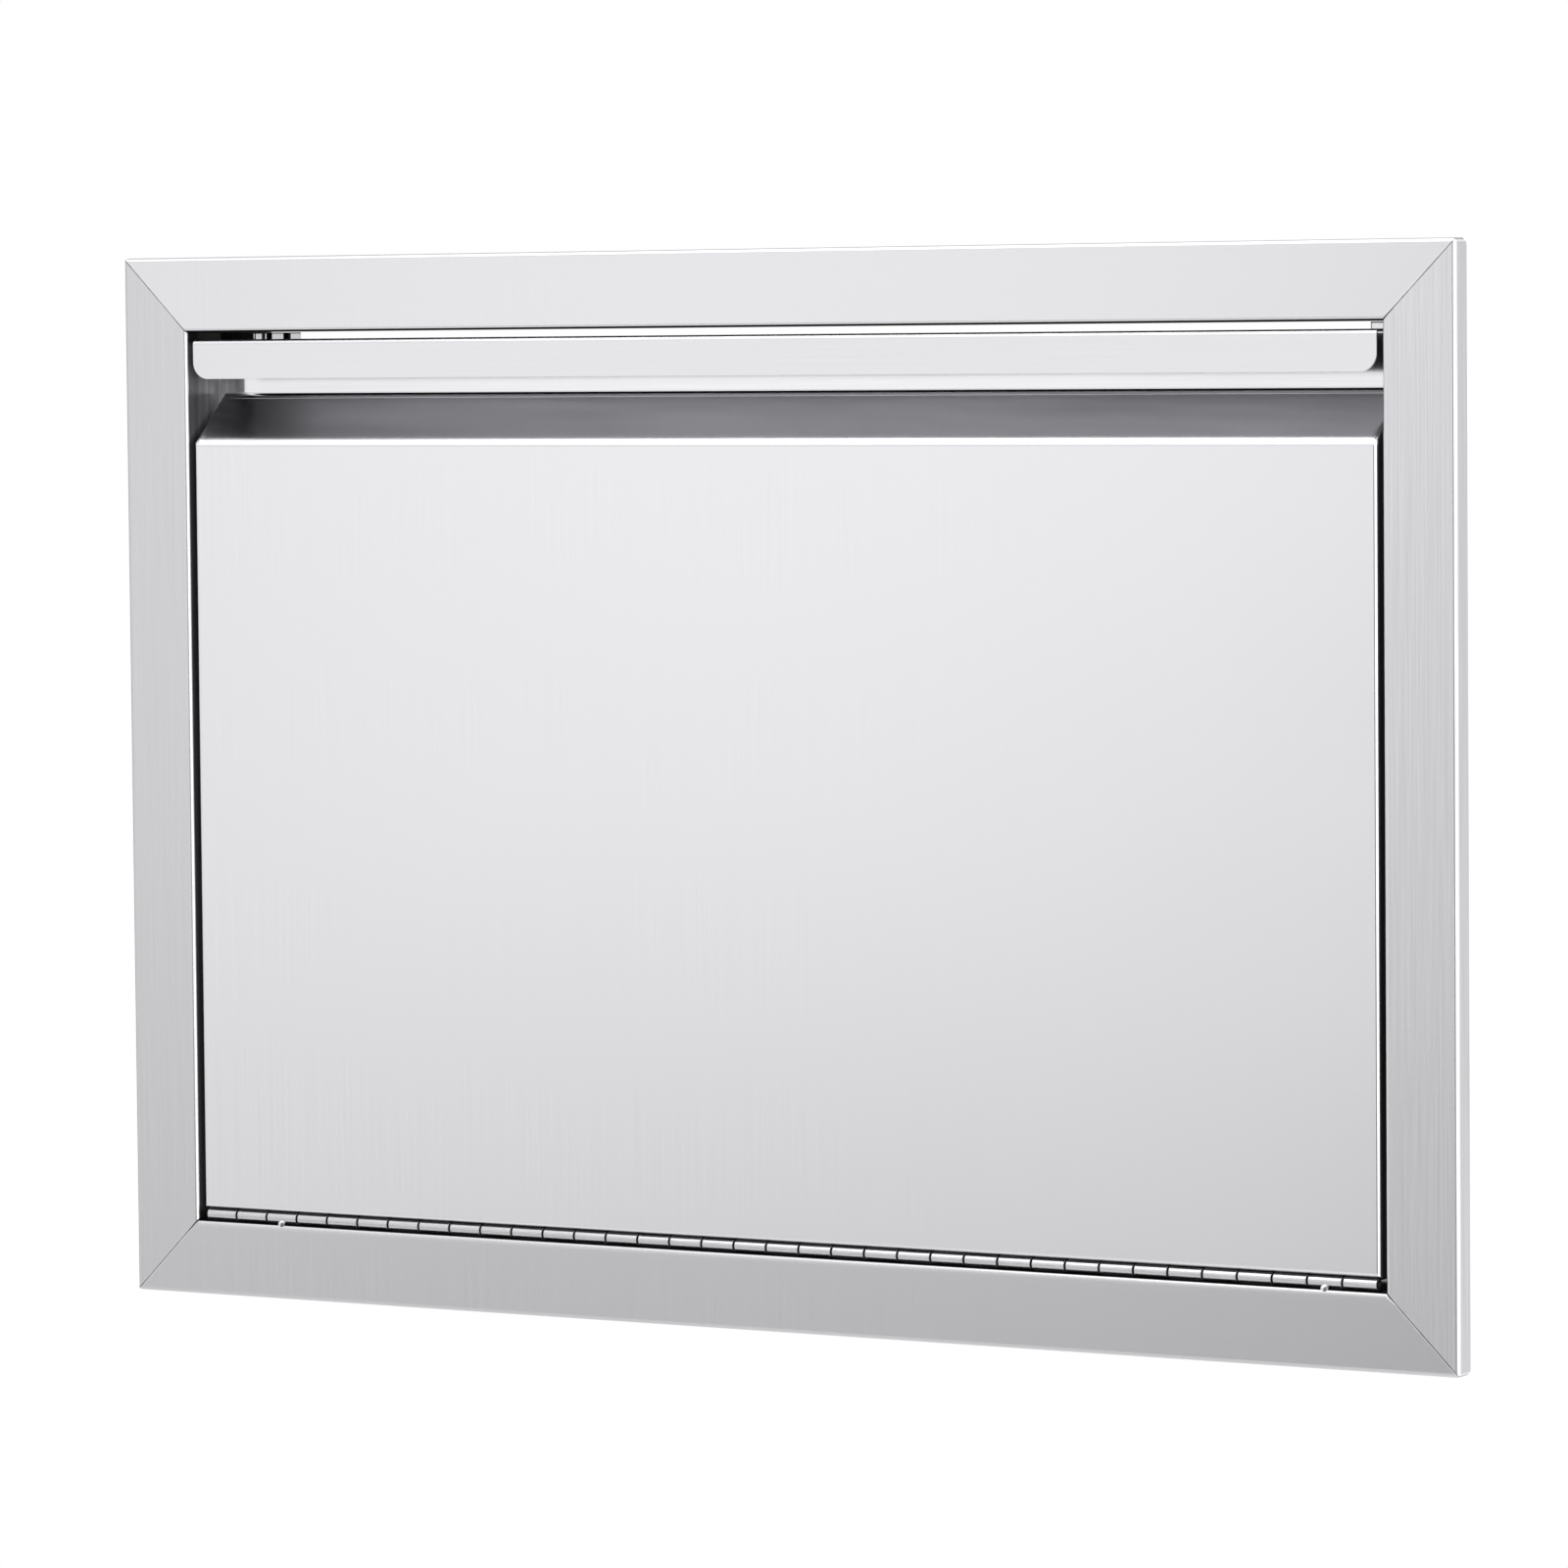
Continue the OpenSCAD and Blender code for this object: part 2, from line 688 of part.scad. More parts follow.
// The right-hand magnet, between its pole plates and flush with the front of the housing.
module catch_magnet() {
    translate([catch_mid - magnet_w / 2, catch_y, pole_z])
        cube([magnet_w, pocket_depth - pocket_play, pole_h]);
}

module catch_magnet_left() {
    color("#3c3c3e") in_place() on_side(-1) catch_magnet();
}

module catch_magnet_right() {
    color("#3c3c3e") in_place() catch_magnet();
}

// The right-hand pair of pole plates, which stand out of the housing towards the strike.
module catch_poles() {
    for (side = [-1, 1])
        translate([catch_mid + side * (magnet_w + pole_sheet) / 2, 0, 0])
            along_y(pole_y, catch_y + pocket_depth - pocket_play)
                translate([-pole_sheet / 2, pole_z]) square([pole_sheet, pole_h]);
}

module catch_poles_left() {
    color("#84888a") in_place() on_side(-1) catch_poles();
}

module catch_poles_right() {
    color("#84888a") in_place() catch_poles();
}

// The two right-hand catch screws, with pan heads towards the middle of the frame.
module catch_screws() {
    dome_r = 1.6 * catch_head_r;
    recess = 0.55 * catch_head_h;
    for (y = screw_ys) translate([catch_x, y, screw_z]) rotate([0, 90, 0]) difference() {
        rotate_extrude() {
            intersection() {
                translate([0, dome_r - catch_head_h]) circle(dome_r);
                translate([0, -catch_head_h]) square([catch_head_r, catch_head_h]);
            }
            square([catch_screw_r, catch_w + frame_sheet + nut_t + screw_end]);
        }
        for (turn = [0, 90]) rotate(turn)
            translate([-catch_head_r / 2, -catch_head_r / 8, -catch_head_h - 1])
                cube([catch_head_r, catch_head_r / 4, recess + 1]);
    }
}

module catch_screws_left() {
    color("#cfd1d2") in_place() on_side(-1) catch_screws();
}

module catch_screws_right() {
    color("#cfd1d2") in_place() catch_screws();
}

// The two right-hand nuts, outside the jamb.
module catch_nuts() {
    for (y = screw_ys) along_x(open_x + frame_sheet, open_x + frame_sheet + nut_t)
        translate([y, screw_z]) difference() {
            circle(nut_flats / 2 / cos(30), $fn = 6);
            circle(catch_screw_r + thread_fit);
        }
}

module catch_nuts_left() {
    color("#b9bcbe") in_place() on_side(-1) catch_nuts();
}

module catch_nuts_right() {
    color("#b9bcbe") in_place() catch_nuts();
}

// The right-hand strike plate, spot-welded to the back wall of the finger pull.
module strike_plate() {
    along_y(back_y, back_y + strike_sheet) rounded(
        [
            [strike_x, strike_head - strike_h], [strike_x + strike_w, strike_head - strike_h],
            [strike_x + strike_w, strike_head], [strike_x, strike_head]
        ],
        [strike_r, strike_r, strike_r, strike_r]
    );
}

module strike_plate_left() {
    color("#9fa3a5") in_place() on_side(-1) strike_plate();
}

module strike_plate_right() {
    color("#9fa3a5") in_place() strike_plate();
}

frame_top_rail();
frame_bottom_rail();
frame_left_stile();
frame_right_stile();
corner_welds();
hinge_frame_leaf();
hinge_pin();
hinge_tack_welds();
hinge_frame_rivets();
catch_housing_left();
catch_housing_right();
catch_magnet_left();
catch_magnet_right();
catch_poles_left();
catch_poles_right();
catch_screws_left();
catch_screws_right();
catch_nuts_left();
catch_nuts_right();
door_panel();
door_pull();
pull_seam_weld();
door_liner();
hinge_door_leaf();
hinge_door_rivets();
liner_rivets();
strike_plate_left();
strike_plate_right();
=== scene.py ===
# %% [markdown]
# # A drop-down access door in brushed stainless steel
# The shapes in this lesson are ready before Blender starts: a mitred frame of folded sheet, a
# hollow door, a continuous hinge, rivets and two magnetic catches, all at their real size in
# metres. Such exact parts are best drawn in a CAD program, so Blender only loads them. What is
# left for Blender is the look, and steel is almost nothing but look: it has no colour of its own
# to speak of, and shows the light around it through the fine lines that brushing left.

# %% Load the CAD model
import math
from functools import reduce

import bpy
import numpy as np
from mathutils import Matrix, Vector


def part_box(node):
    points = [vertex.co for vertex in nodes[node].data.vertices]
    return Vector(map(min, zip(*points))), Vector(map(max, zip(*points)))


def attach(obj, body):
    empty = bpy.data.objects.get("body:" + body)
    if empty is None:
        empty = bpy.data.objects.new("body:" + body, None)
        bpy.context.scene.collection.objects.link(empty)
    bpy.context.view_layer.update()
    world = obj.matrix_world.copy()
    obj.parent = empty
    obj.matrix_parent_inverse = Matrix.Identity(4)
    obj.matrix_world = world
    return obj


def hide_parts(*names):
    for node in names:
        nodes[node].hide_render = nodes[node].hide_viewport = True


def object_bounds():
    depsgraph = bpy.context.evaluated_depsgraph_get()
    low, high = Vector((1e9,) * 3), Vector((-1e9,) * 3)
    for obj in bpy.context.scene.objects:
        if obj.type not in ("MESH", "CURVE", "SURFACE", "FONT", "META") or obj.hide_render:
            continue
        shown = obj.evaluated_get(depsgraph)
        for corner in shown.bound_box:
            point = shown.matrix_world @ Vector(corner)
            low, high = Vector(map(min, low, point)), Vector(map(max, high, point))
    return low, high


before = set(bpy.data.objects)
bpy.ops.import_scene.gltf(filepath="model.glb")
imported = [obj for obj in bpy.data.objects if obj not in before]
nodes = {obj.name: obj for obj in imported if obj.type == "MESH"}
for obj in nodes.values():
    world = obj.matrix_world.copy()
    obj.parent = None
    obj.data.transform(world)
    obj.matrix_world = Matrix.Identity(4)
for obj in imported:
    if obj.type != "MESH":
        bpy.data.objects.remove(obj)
cad_low, cad_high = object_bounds()
print(len(nodes), "CAD pieces from", tuple(cad_low), "to", tuple(cad_high))

# %% [markdown]
# ## The camera
# A long lens from three metres away keeps the edges of the frame nearly parallel, as a catalogue
# photographer would want. The place and the three angles are those at which the corners of the
# real frame land on the corners in the photograph. Three angles are easier to read than a
# rotation matrix, so the matrix is worked out from them.

# %% Camera
CAMERA_PLACE = Vector((1.500, -2.60275, 0.396))
YAW, PITCH, ROLL = (math.radians(angle) for angle in (-30.08, -3.40, -0.52))
FOCAL_PIXELS = 7647
PICTURE_PIXELS = 1600
SENSOR_MM = 36.0


def camera_turn(yaw, pitch, roll):
    """The camera's axes as columns: it looks along its own -Z, which is the forward direction
    turned by yaw from +Y, raised by pitch, and then rolled about itself."""
    forward = Vector((
        math.sin(yaw) * math.cos(pitch), math.cos(yaw) * math.cos(pitch), math.sin(pitch)
    ))
    right = Vector((math.cos(yaw), -math.sin(yaw), 0))
    up = right.cross(forward)
    rolled_right = right * math.cos(roll) + up * math.sin(roll)
    rolled_up = up * math.cos(roll) - right * math.sin(roll)
    return Matrix((rolled_right, rolled_up, -forward)).transposed()


camera = bpy.data.objects.new("camera", bpy.data.cameras.new("camera"))
bpy.context.scene.collection.objects.link(camera)
camera.data.sensor_width = SENSOR_MM
camera.data.lens = FOCAL_PIXELS / PICTURE_PIXELS * SENSOR_MM
camera.data.clip_end = 100
camera.matrix_world = Matrix.Translation(CAMERA_PLACE) @ camera_turn(YAW, PITCH, ROLL).to_4x4()
bpy.context.scene.camera = camera
bpy.context.scene.view_settings.view_transform = "Standard"
print("lens", round(camera.data.lens, 1), "mm")

# %% [markdown]
# ## Small helpers for node trees
# A material in Blender is a graph: nodes that make numbers or colours, and links that carry them.
# Written out in full, one graph takes a page of code. A few short helpers keep it readable: one
# adds a node and fills in its settings, and the others name the sums and mixtures that come up
# again and again.

# %% Node helpers


def add_node(tree, kind, inputs=(), **settings):
    """Adds a node. Each input is a number, a colour or an output socket to link from."""
    node = tree.nodes.new(kind)
    for name, value in settings.items():
        setattr(node, name, value)
    for name, value in dict(inputs).items():
        if isinstance(value, bpy.types.NodeSocket):
            tree.links.new(value, node.inputs[name])
        else:
            node.inputs[name].default_value = value
    return node


def maths(tree, operation, first, second=0.0):
    """One sum, product or comparison of two values, as an output socket."""
    return add_node(tree, "ShaderNodeMath", {0: first, 1: second}, operation=operation).outputs[0]


def remap(tree, value, low, high, to_low=0.0, to_high=1.0):
    """Slides a value that lies between low and high to between to_low and to_high."""
    inputs = {"Value": value, 1: low, 2: high, 3: to_low, 4: to_high}
    return add_node(tree, "ShaderNodeMapRange", inputs).outputs[0]


def blended(tree, share, first, second):
    """A number that is first where share is 0, and second where it is 1."""
    return add_node(tree, "ShaderNodeMix", {0: share, 2: first, 3: second}).outputs[0]


def mixed(tree, share, first, second):
    """A colour that is first where share is 0, and second where it is 1."""
    mix = add_node(tree, "ShaderNodeMix", {0: share, 6: first, 7: second}, data_type="RGBA")
    return mix.outputs[2]


def grey(level):
    """A colour with the same red, green and blue."""
    return level, level, level, 1.0


print("white as a colour:", grey(1.0))

# %% [markdown]
# ## Masks
# Most of the sums in a finish are masks. A mask is 1 where something is so and 0 where it isn't,
# with a short slope between the two, so that no border looks cut out. Masks are joined by plain
# sums: a product stands for and, the highest value for or, and 1 minus a mask for not.

# %% Mask helpers
NOISE_RANGE = (0.3, 0.7)


def product(tree, *values):
    """The product of several values. For masks it is 1 where all of them are 1."""
    return reduce(lambda first, second: maths(tree, "MULTIPLY", first, second), values)


def highest(tree, *values):
    """The highest of several values. For masks it is 1 where any of them is 1."""
    return reduce(lambda first, second: maths(tree, "MAXIMUM", first, second), values)


def opposite(tree, share):
    """1 minus a share."""
    return maths(tree, "SUBTRACT", 1.0, share)


def distance(tree, first, second):
    """How far two values lie apart, whichever is the larger."""
    return maths(tree, "ABSOLUTE", maths(tree, "SUBTRACT", first, second))


def length_of(tree, vector):
    """The length of a vector."""
    node = add_node(tree, "ShaderNodeVectorMath", {0: vector}, operation="LENGTH")
    return node.outputs["Value"]


def band(tree, value, low, full, falling, gone):
    """A mask that is 0 up to low, 1 from full to falling, and 0 again from gone."""
    return product(tree, remap(tree, value, low, full), remap(tree, value, gone, falling))


def from_noise(tree, noise, low, high):
    """Slides a noise to between low and high, from the range in which nearly all of it lies."""
    return remap(tree, noise, *NOISE_RANGE, low, high)


print("a noise mostly lies between", *NOISE_RANGE)

# %% [markdown]
# ## Helpers for groups and materials
# A node group is a small graph with named inputs and outputs that several materials can share, so
# an effect such as grain is built once and used with other numbers in each. Nearly every effect
# here starts from two things: where a point of the surface is and which way the surface faces.
# Both are read in the object's own axes, so a pattern stays on its piece when the door swings.

# %% Group and material helpers


def place_and_normal(tree):
    """The place and the normal in the object's own axes: the three parts of each, then both as
    vectors."""
    seen = add_node(tree, "ShaderNodeTexCoord").outputs
    vectors = seen["Object"], seen["Normal"]
    parts = [add_node(tree, "ShaderNodeSeparateXYZ", {0: vector}).outputs for vector in vectors]
    return *parts, *vectors


def node_group(name, inputs, outputs):
    """An empty node group. Each input is a name with its usual value, each output only a name."""
    tree = bpy.data.node_groups.new(name, "ShaderNodeTree")
    for label, value in inputs.items():
        socket = tree.interface.new_socket(label, in_out="INPUT", socket_type="NodeSocketFloat")
        socket.default_value = value
    for label in outputs:
        tree.interface.new_socket(label, in_out="OUTPUT", socket_type="NodeSocketFloat")
    return tree, tree.nodes.new("NodeGroupInput").outputs, tree.nodes.new("NodeGroupOutput").inputs


def use_group(tree, group, **inputs):
    """Places a node group in a material and returns its outputs by name."""
    node = tree.nodes.new("ShaderNodeGroup")
    node.node_tree = group
    for name, value in inputs.items():
        node.inputs[name].default_value = value
    return node.outputs


def new_material(name):
    """A material with only its Principled shader, and the tree and the shader to work on."""
    material = bpy.data.materials.new(name)
    material.use_nodes = True
    return material, material.node_tree, material.node_tree.nodes["Principled BSDF"]


def bare_material(name):
    """A material without any shader yet, and the tree to work on."""
    material, tree, _ = new_material(name)
    tree.nodes.clear()
    return material, tree


print("materials that came with the CAD model:", len(bpy.data.materials))

# %% [markdown]
# ## Surfaces from numbers
# The few shapes that Blender adds, and the panels of the studio, are all made the same way: a grid
# of points worked out by a formula, joined by four-sided faces. Numpy works out the whole grid at
# once, which is both shorter and much faster than a loop over the points.

# %% Mesh helpers


def grid_faces(rows, columns, closed=False):
    """Faces between neighbouring rows and columns of a grid of points, numbered row by row. A
    closed grid also joins its last column to its first."""
    row = np.arange(rows - 1)[:, None] * columns
    column = np.arange(columns if closed else columns - 1)
    nxt = (column + 1) % columns
    corners = [row + column, row + nxt, row + columns + nxt, row + columns + column]
    return np.stack(corners, -1).reshape(-1, 4).tolist()


def mesh_object(name, points, faces, material):
    """A mesh object at the origin, smooth shaded, with its place in its mesh."""
    mesh = bpy.data.meshes.new(name)
    mesh.from_pydata(np.asarray(points, float).reshape(-1, 3).tolist(), [], faces)
    mesh.polygons.foreach_set("use_smooth", np.ones(len(mesh.polygons), bool))
    mesh.materials.append(material)
    piece = bpy.data.objects.new(name, mesh)
    bpy.context.scene.collection.objects.link(piece)
    return piece


print("a grid of 3 by 4 points has", len(grid_faces(3, 4)), "faces")

# %% [markdown]
# ## The studio
# Metal shows what stands around it, so the studio is half of the finish. The room itself is plain
# white, at strength 1, at which a colour renders as it is written.

# %% World
world = bpy.data.worlds.new("studio")
bpy.context.scene.world = world
world.use_nodes = True
world.node_tree.nodes["Background"].inputs["Color"].default_value = grey(1.0)
world.node_tree.nodes["Background"].inputs["Strength"].default_value = 1.0
print("world:", world.name)

# %% [markdown]
# ## Cards
# In the room stand a few panels, called cards, that the camera never sees, as in any product
# photograph of metal. The graded card stands where the flat faces mirror it, and is paler at the
# top, so that the door darkens a little towards its foot. The dark card is mirrored by the bends
# that turn to the right, and draws the thin dark line that tells the eye where the sheet turns. Two
# cards on the left, a pale one and a dark one, draw the left-hand edges against the white. One
# behind on the right is mirrored by the frame's right-hand side, and a flat one above the floor by
# what looks down.

# %% Cards
FLOOR_Z = -0.75
LOW_CARD_Z = FLOOR_Z + 0.01
CARD_COLUMNS = 24


def card_light(name, upright, levels):
    """Light whose level follows the height or, on a flat card, the distance from the origin."""
    material, tree = bare_material(name)
    place, _, spot, _ = place_and_normal(tree)
    mark = place["Z"] if upright else length_of(tree, spot)
    marks = np.array(list(levels), float)
    ramp = add_node(tree, "ShaderNodeValToRGB", {0: remap(tree, mark, marks[0], marks[-1])})
    stops = ramp.color_ramp.elements
    while len(stops) < len(marks):
        stops.new(0.5)
    for stop, share in zip(stops, (marks - marks[0]) / (marks[-1] - marks[0])):
        stop.position = share
    for stop, level in zip(stops, levels.values()):
        stop.color = grey(level)
    glow = add_node(tree, "ShaderNodeEmission", {"Color": ramp.outputs[0], "Strength": 1.0})
    add_node(tree, "ShaderNodeOutputMaterial", {"Surface": glow.outputs[0]})
    return material


def card(name, azimuths, levels, reach=None):
    """A card that glows, bent round the door. With azimuth 0 in front of the door and 90 on its
    right, x is the reach times the sine of the azimuth, and y is minus the reach times its cosine.
    An upright card has one reach, and each of its levels belongs to a height. Without a reach the
    card lies flat above the floor, and each level belongs to a distance."""
    turn = np.radians(np.linspace(*azimuths, CARD_COLUMNS))
    first, *_, last = levels
    ends = np.array([[first], [last]]) + 0 * turn
    far, z = (ends, LOW_CARD_Z + 0 * ends) if reach is None else (reach + 0 * ends, ends)
    points = np.stack([far * np.sin(turn), -far * np.cos(turn), z], -1)
    light = card_light(name, reach is not None, levels)
    piece = mesh_object(name, points, grid_faces(2, CARD_COLUMNS), light)
    piece.visible_camera = False
    piece.visible_diffuse = False
    return piece


card("graded_card", (-62, -16), {
    -0.74: 0.40, -0.31: 0.64, -0.22: 0.72, 0.04: 0.88,
    0.30: 0.94, 0.56: 0.98, 0.66: 0.70, 1.10: 0.74,
}, 2.5)
card("dark_card", (-13, 6), {-0.74: 0.06, 0.0: 0.10, 0.35: 0.30, 0.50: 0.50, 1.10: 0.55}, 2.4)
card("pale_left_card", (-92, -41), {-0.74: 0.71, 0.90: 0.77}, 2.3)
card("dark_left_card", (-178, -92), {-0.74: 0.32, 1.50: 0.45, 4.00: 0.80}, 2.2)
card("right_rear_card", (115, 178), {-0.74: 0.76, 0.90: 0.69}, 2.2)
card("low_card", (-179, 100), {0.1: 0.38, 0.42: 0.40, 0.60: 0.78, 2.5: 0.72})

# %% [markdown]
# ## Two softboxes
# The rounded edges of the sheet shine nearly white in the photograph, whiter than the room. They
# mirror the two large lamps: one overhead, which lights every edge that looks up, and one on the
# right, which lights the edges that turn to the right.

# %% Lamps
AIM = Vector((0, 0, 0.22))
LAMPS = {
    "overhead_softbox": ((-0.1, -0.9, 1.9), (2.2, 1.6), 1.2),
    "right_softbox": ((1.9, -1.4, 0.5), (2.0, 1.6), 1.0),
}


def softbox(name, place, size, level):
    """A rectangular lamp aimed at the door. Its surface is level times as bright as the room, which
    takes level times pi times its area in watts."""
    lamp = bpy.data.lights.new(name, "AREA")
    lamp.shape = "RECTANGLE"
    lamp.size, lamp.size_y = size
    lamp.energy = level * math.pi * size[0] * size[1]
    piece = bpy.data.objects.new(name, lamp)
    bpy.context.scene.collection.objects.link(piece)
    piece.location = place
    piece.rotation_mode = "QUATERNION"
    piece.rotation_quaternion = (AIM - Vector(place)).to_track_quat("-Z", "Y")
    piece.visible_camera = False
    return piece


for lamp_name, lamp_settings in LAMPS.items():
    print(lamp_name, round(softbox(lamp_name, *lamp_settings).data.energy, 1), "W")

# %% [markdown]
# ## The floor
# The door is photographed hanging free, so the floor lies well below it. It is a pale disc whose
# rim fades into the white room, and from below it lets the light through, so that a picture from
# low down isn't blocked by it.

# %% Floor
FLOOR_R = 3.0
FLOOR_FADE = 1.2
FLOOR_RINGS, FLOOR_SPOKES = 24, 96


def disc(radius, rings, spokes):
    """Points of a flat disc: the radius times the ring's number over the number of rings, at equal
    angles round the middle. The innermost ring is tiny, so no point at the middle is needed."""
    angle = np.arange(spokes) * 2 * np.pi / spokes
    r = radius * np.linspace(1e-3, 1, rings)[:, None]
    return np.stack([r * np.cos(angle), r * np.sin(angle), FLOOR_Z + 0 * r * angle], -1)


def floor_paint():
    """Matt pale grey that turns clear over the outer part of the disc and is clear from below."""
    material, tree = bare_material("pale_floor")
    spot = place_and_normal(tree)[2]
    flat = add_node(tree, "ShaderNodeVectorMath", {0: spot, 1: (1, 1, 0)}, operation="MULTIPLY")
    rim = remap(tree, length_of(tree, flat.outputs[0]), FLOOR_R - FLOOR_FADE, FLOOR_R)
    below = add_node(tree, "ShaderNodeNewGeometry").outputs["Backfacing"]
    matt = add_node(tree, "ShaderNodeBsdfDiffuse", {"Color": grey(0.75)}).outputs[0]
    clear = add_node(tree, "ShaderNodeBsdfTransparent").outputs[0]
    both = add_node(tree, "ShaderNodeMixShader", {0: highest(tree, rim, below), 1: matt, 2: clear})
    add_node(tree, "ShaderNodeOutputMaterial", {"Surface": both.outputs[0]})
    return material


floor_points = disc(FLOOR_R, FLOOR_RINGS, FLOOR_SPOKES)
floor_faces = grid_faces(FLOOR_RINGS, FLOOR_SPOKES, closed=True)
floor = mesh_object("floor", floor_points, floor_faces, floor_paint())
print("floor", FLOOR_R * 2, "m wide at", FLOOR_Z)

# %% [markdown]
# ## Grain
# Brushing leaves thousands of parallel scratches, each finer than a hair. A noise that is squeezed
# across the grain and stretched along it looks just like them. On a folded sheet the scratches
# follow the fold, so the direction across the grain changes with the way the surface faces. Two
# node groups do this, one for sheets brushed up and down and one for the finger pull, the hinge and
# other pieces whose grain runs from side to side. Each also puts out a slow haze, for the faint
# unevenness that hands and rollers leave.

# %% Grain groups
FINENESS, RUN = 1150.0, 12.0
HAZE_SCALE = 5.0


def grain_group(name, brushed_up):
    """Streaks: a noise of (the distance across the grain times Fineness, the distance along it
    times Run). Haze: a noise of the place times 5, so its patches are about 20 cm wide."""
    tree, given, out = node_group(name, {"Fineness": FINENESS, "Run": RUN}, ["Streaks", "Haze"])
    place, facing, spot, _ = place_and_normal(tree)
    across, along = ("X", "Z") if brushed_up else ("Z", "X")
    turned = maths(tree, "ABSOLUTE", facing[across])
    flat_share = opposite(tree, turned)
    sideways = maths(
        tree, "ADD", product(tree, place[across], flat_share), product(tree, place["Y"], turned)
    )
    lengthways = place[along]
    if brushed_up:
        lengthways = maths(tree, "ADD", lengthways, product(tree, place["Y"], flat_share))
    stretched = add_node(tree, "ShaderNodeCombineXYZ", {
        0: product(tree, sideways, given["Fineness"]), 1: product(tree, lengthways, given["Run"]),
    }).outputs[0]
    fine_inputs = {"Vector": stretched, "Scale": 1.0, "Detail": 2.0, "Roughness": 0.6}
    fine = add_node(tree, "ShaderNodeTexNoise", fine_inputs, noise_dimensions="2D")
    tree.links.new(fine.outputs[0], out["Streaks"])
    slow_inputs = {"Vector": spot, "Scale": HAZE_SCALE, "Detail": 2.0, "Roughness": 0.5}
    slow = add_node(tree, "ShaderNodeTexNoise", slow_inputs)
    tree.links.new(slow.outputs[0], out["Haze"])
    return tree


GRAIN_UP = grain_group("grain_up_and_down", True)
GRAIN_LEVEL = grain_group("grain_side_to_side", False)
print("node groups:", [group.name for group in bpy.data.node_groups])

# %% [markdown]
# ## The unbrushed inside, and painted shade in the gaps
# Sheet is brushed on one side only, before it is folded, and the inside of the frame's opening and
# of the finger pull never sees a polishing belt again. There the steel keeps the dull grey skin of
# the rolling mill. In the gaps round the door the tone is painted nearly black instead: painted
# shade, for light that goes in between two faces and hardly comes out. The groups below find these
# faces from the place and the way the surface faces, and put out 1 there and 0 on the brushed
# outside, with the painted shade or the mill grey as the tone. All of them start from the same few
# measures.

# %% Inside helpers
MM = 0.001
FACE_Y = cad_low[1]
HALF_WIDE = cad_high[0]
MIDDLE_Z = (cad_low[2] + cad_high[2]) / 2
MILL_TONE, MILL_STREAK = 0.58, 0.05


def depth_of(tree, place):
    """How far a place lies behind the face of the frame."""
    return maths(tree, "SUBTRACT", place["Y"], FACE_Y)


def facing_back(tree, facing):
    """1 on what faces backwards."""
    return remap(tree, facing["Y"], 0.2, 0.6)


def inside_group(name, **given):
    """A group that puts out where the inside is, and the tone, streaks and roughness there. Its
    usual tone, 0.10, is painted shade.
    """
    usual = {"Tone": 0.10, "Dullness": 0.45, "Streak": 0.25}
    tree, given, out = node_group(name, usual | given, ["Inside", "Tone", "Streak", "Roughness"])
    tree.links.new(given["Tone"], out["Tone"])
    tree.links.new(given["Streak"], out["Streak"])
    tree.links.new(given["Dullness"], out["Roughness"])
    return tree, given, out, *place_and_normal(tree)[:2]


print("face of the frame at y =", round(FACE_Y, 5))

# %% [markdown]
# ## Mitres
# Each corner of the frame is a mitre, welded from behind, so that only a hair of shadow shows along
# the diagonal. Beside it lies the cut edge of the rail, smoother than the face, with a painted
# highlight on it. Both are far finer than the sheet is thick, so they are drawn into the finish: a
# point lies on the seam where it is as far from the side of the frame as from its top or bottom.
# The shadow comes and goes a little, in patches of about a centimetre, as the gap between the two
# sheets does.

# %% Mitres
SEAM_WIDTHS = (0.34 * MM, 0.14 * MM)
HIGHLIGHT_BAND = (0.40 * MM, 0.50 * MM, 0.75 * MM, 0.95 * MM)
PATCH_SCALE = 100.0


def from_outline(tree, place):
    """How far a place lies inside the frame's outline, from its side and from its top or bottom."""
    from_side = maths(tree, "SUBTRACT", HALF_WIDE, maths(tree, "ABSOLUTE", place["X"]))
    from_end = maths(tree, "SUBTRACT", MIDDLE_Z, distance(tree, place["Z"], MIDDLE_Z))
    return from_side, from_end


def seam_and_highlight(tree, from_side, from_end):
    """The seam, patchy and wider at its inner end, and the painted highlight on the edge beside it.
    """
    to_rail = maths(tree, "SUBTRACT", from_side, from_end)
    narrower = remap(tree, from_end, 24 * MM, 31 * MM, 1.0, 0.45)
    off_seam = product(tree, maths(tree, "ABSOLUTE", to_rail), narrower)
    inputs = {"Vector": place_and_normal(tree)[2], "Scale": PATCH_SCALE}
    patches = add_node(tree, "ShaderNodeTexNoise", inputs).outputs[0]
    shadow = remap(tree, patches, 0.38, 0.60, 0.45, 1.0)
    seam = product(tree, remap(tree, off_seam, *SEAM_WIDTHS), shadow)
    return seam, band(tree, to_rail, *HIGHLIGHT_BAND)


print("a seam is", round(2 * SEAM_WIDTHS[0] / MM, 2), "mm wide at its outer end")

# %% [markdown]
# ## Inside of the frame
# On the frame the gaps are painted black, as shade, the jambs behind the door fade to grey in that
# painted shade, and the back is unshaded mill finish. Which of the three a face belongs to depends
# on whether it looks into the opening and on how deep it lies, so the group measures both.

# %% Inside of the frame
RETURN_DEPTH = 9.0 * MM
OPENING_FROM = (20 * MM, 25 * MM)
GAP_ENDS = (34.5 * MM, 37 * MM)
JAMB_DEPTHS, JAMB_TONE = (6 * MM, 40 * MM), 0.35


def looking_in(tree, place, facing):
    """1 on what looks towards the middle of the opening: where the normal's sideways or upright
    part has the other sign than the place has, measured from the middle."""
    above = maths(tree, "SUBTRACT", place["Z"], MIDDLE_Z)
    to_side = product(tree, facing["X"], maths(tree, "SIGN", place["X"]))
    to_end = product(tree, facing["Z"], maths(tree, "SIGN", above))
    return remap(tree, maths(tree, "MINIMUM", to_side, to_end), -0.2, -0.4)


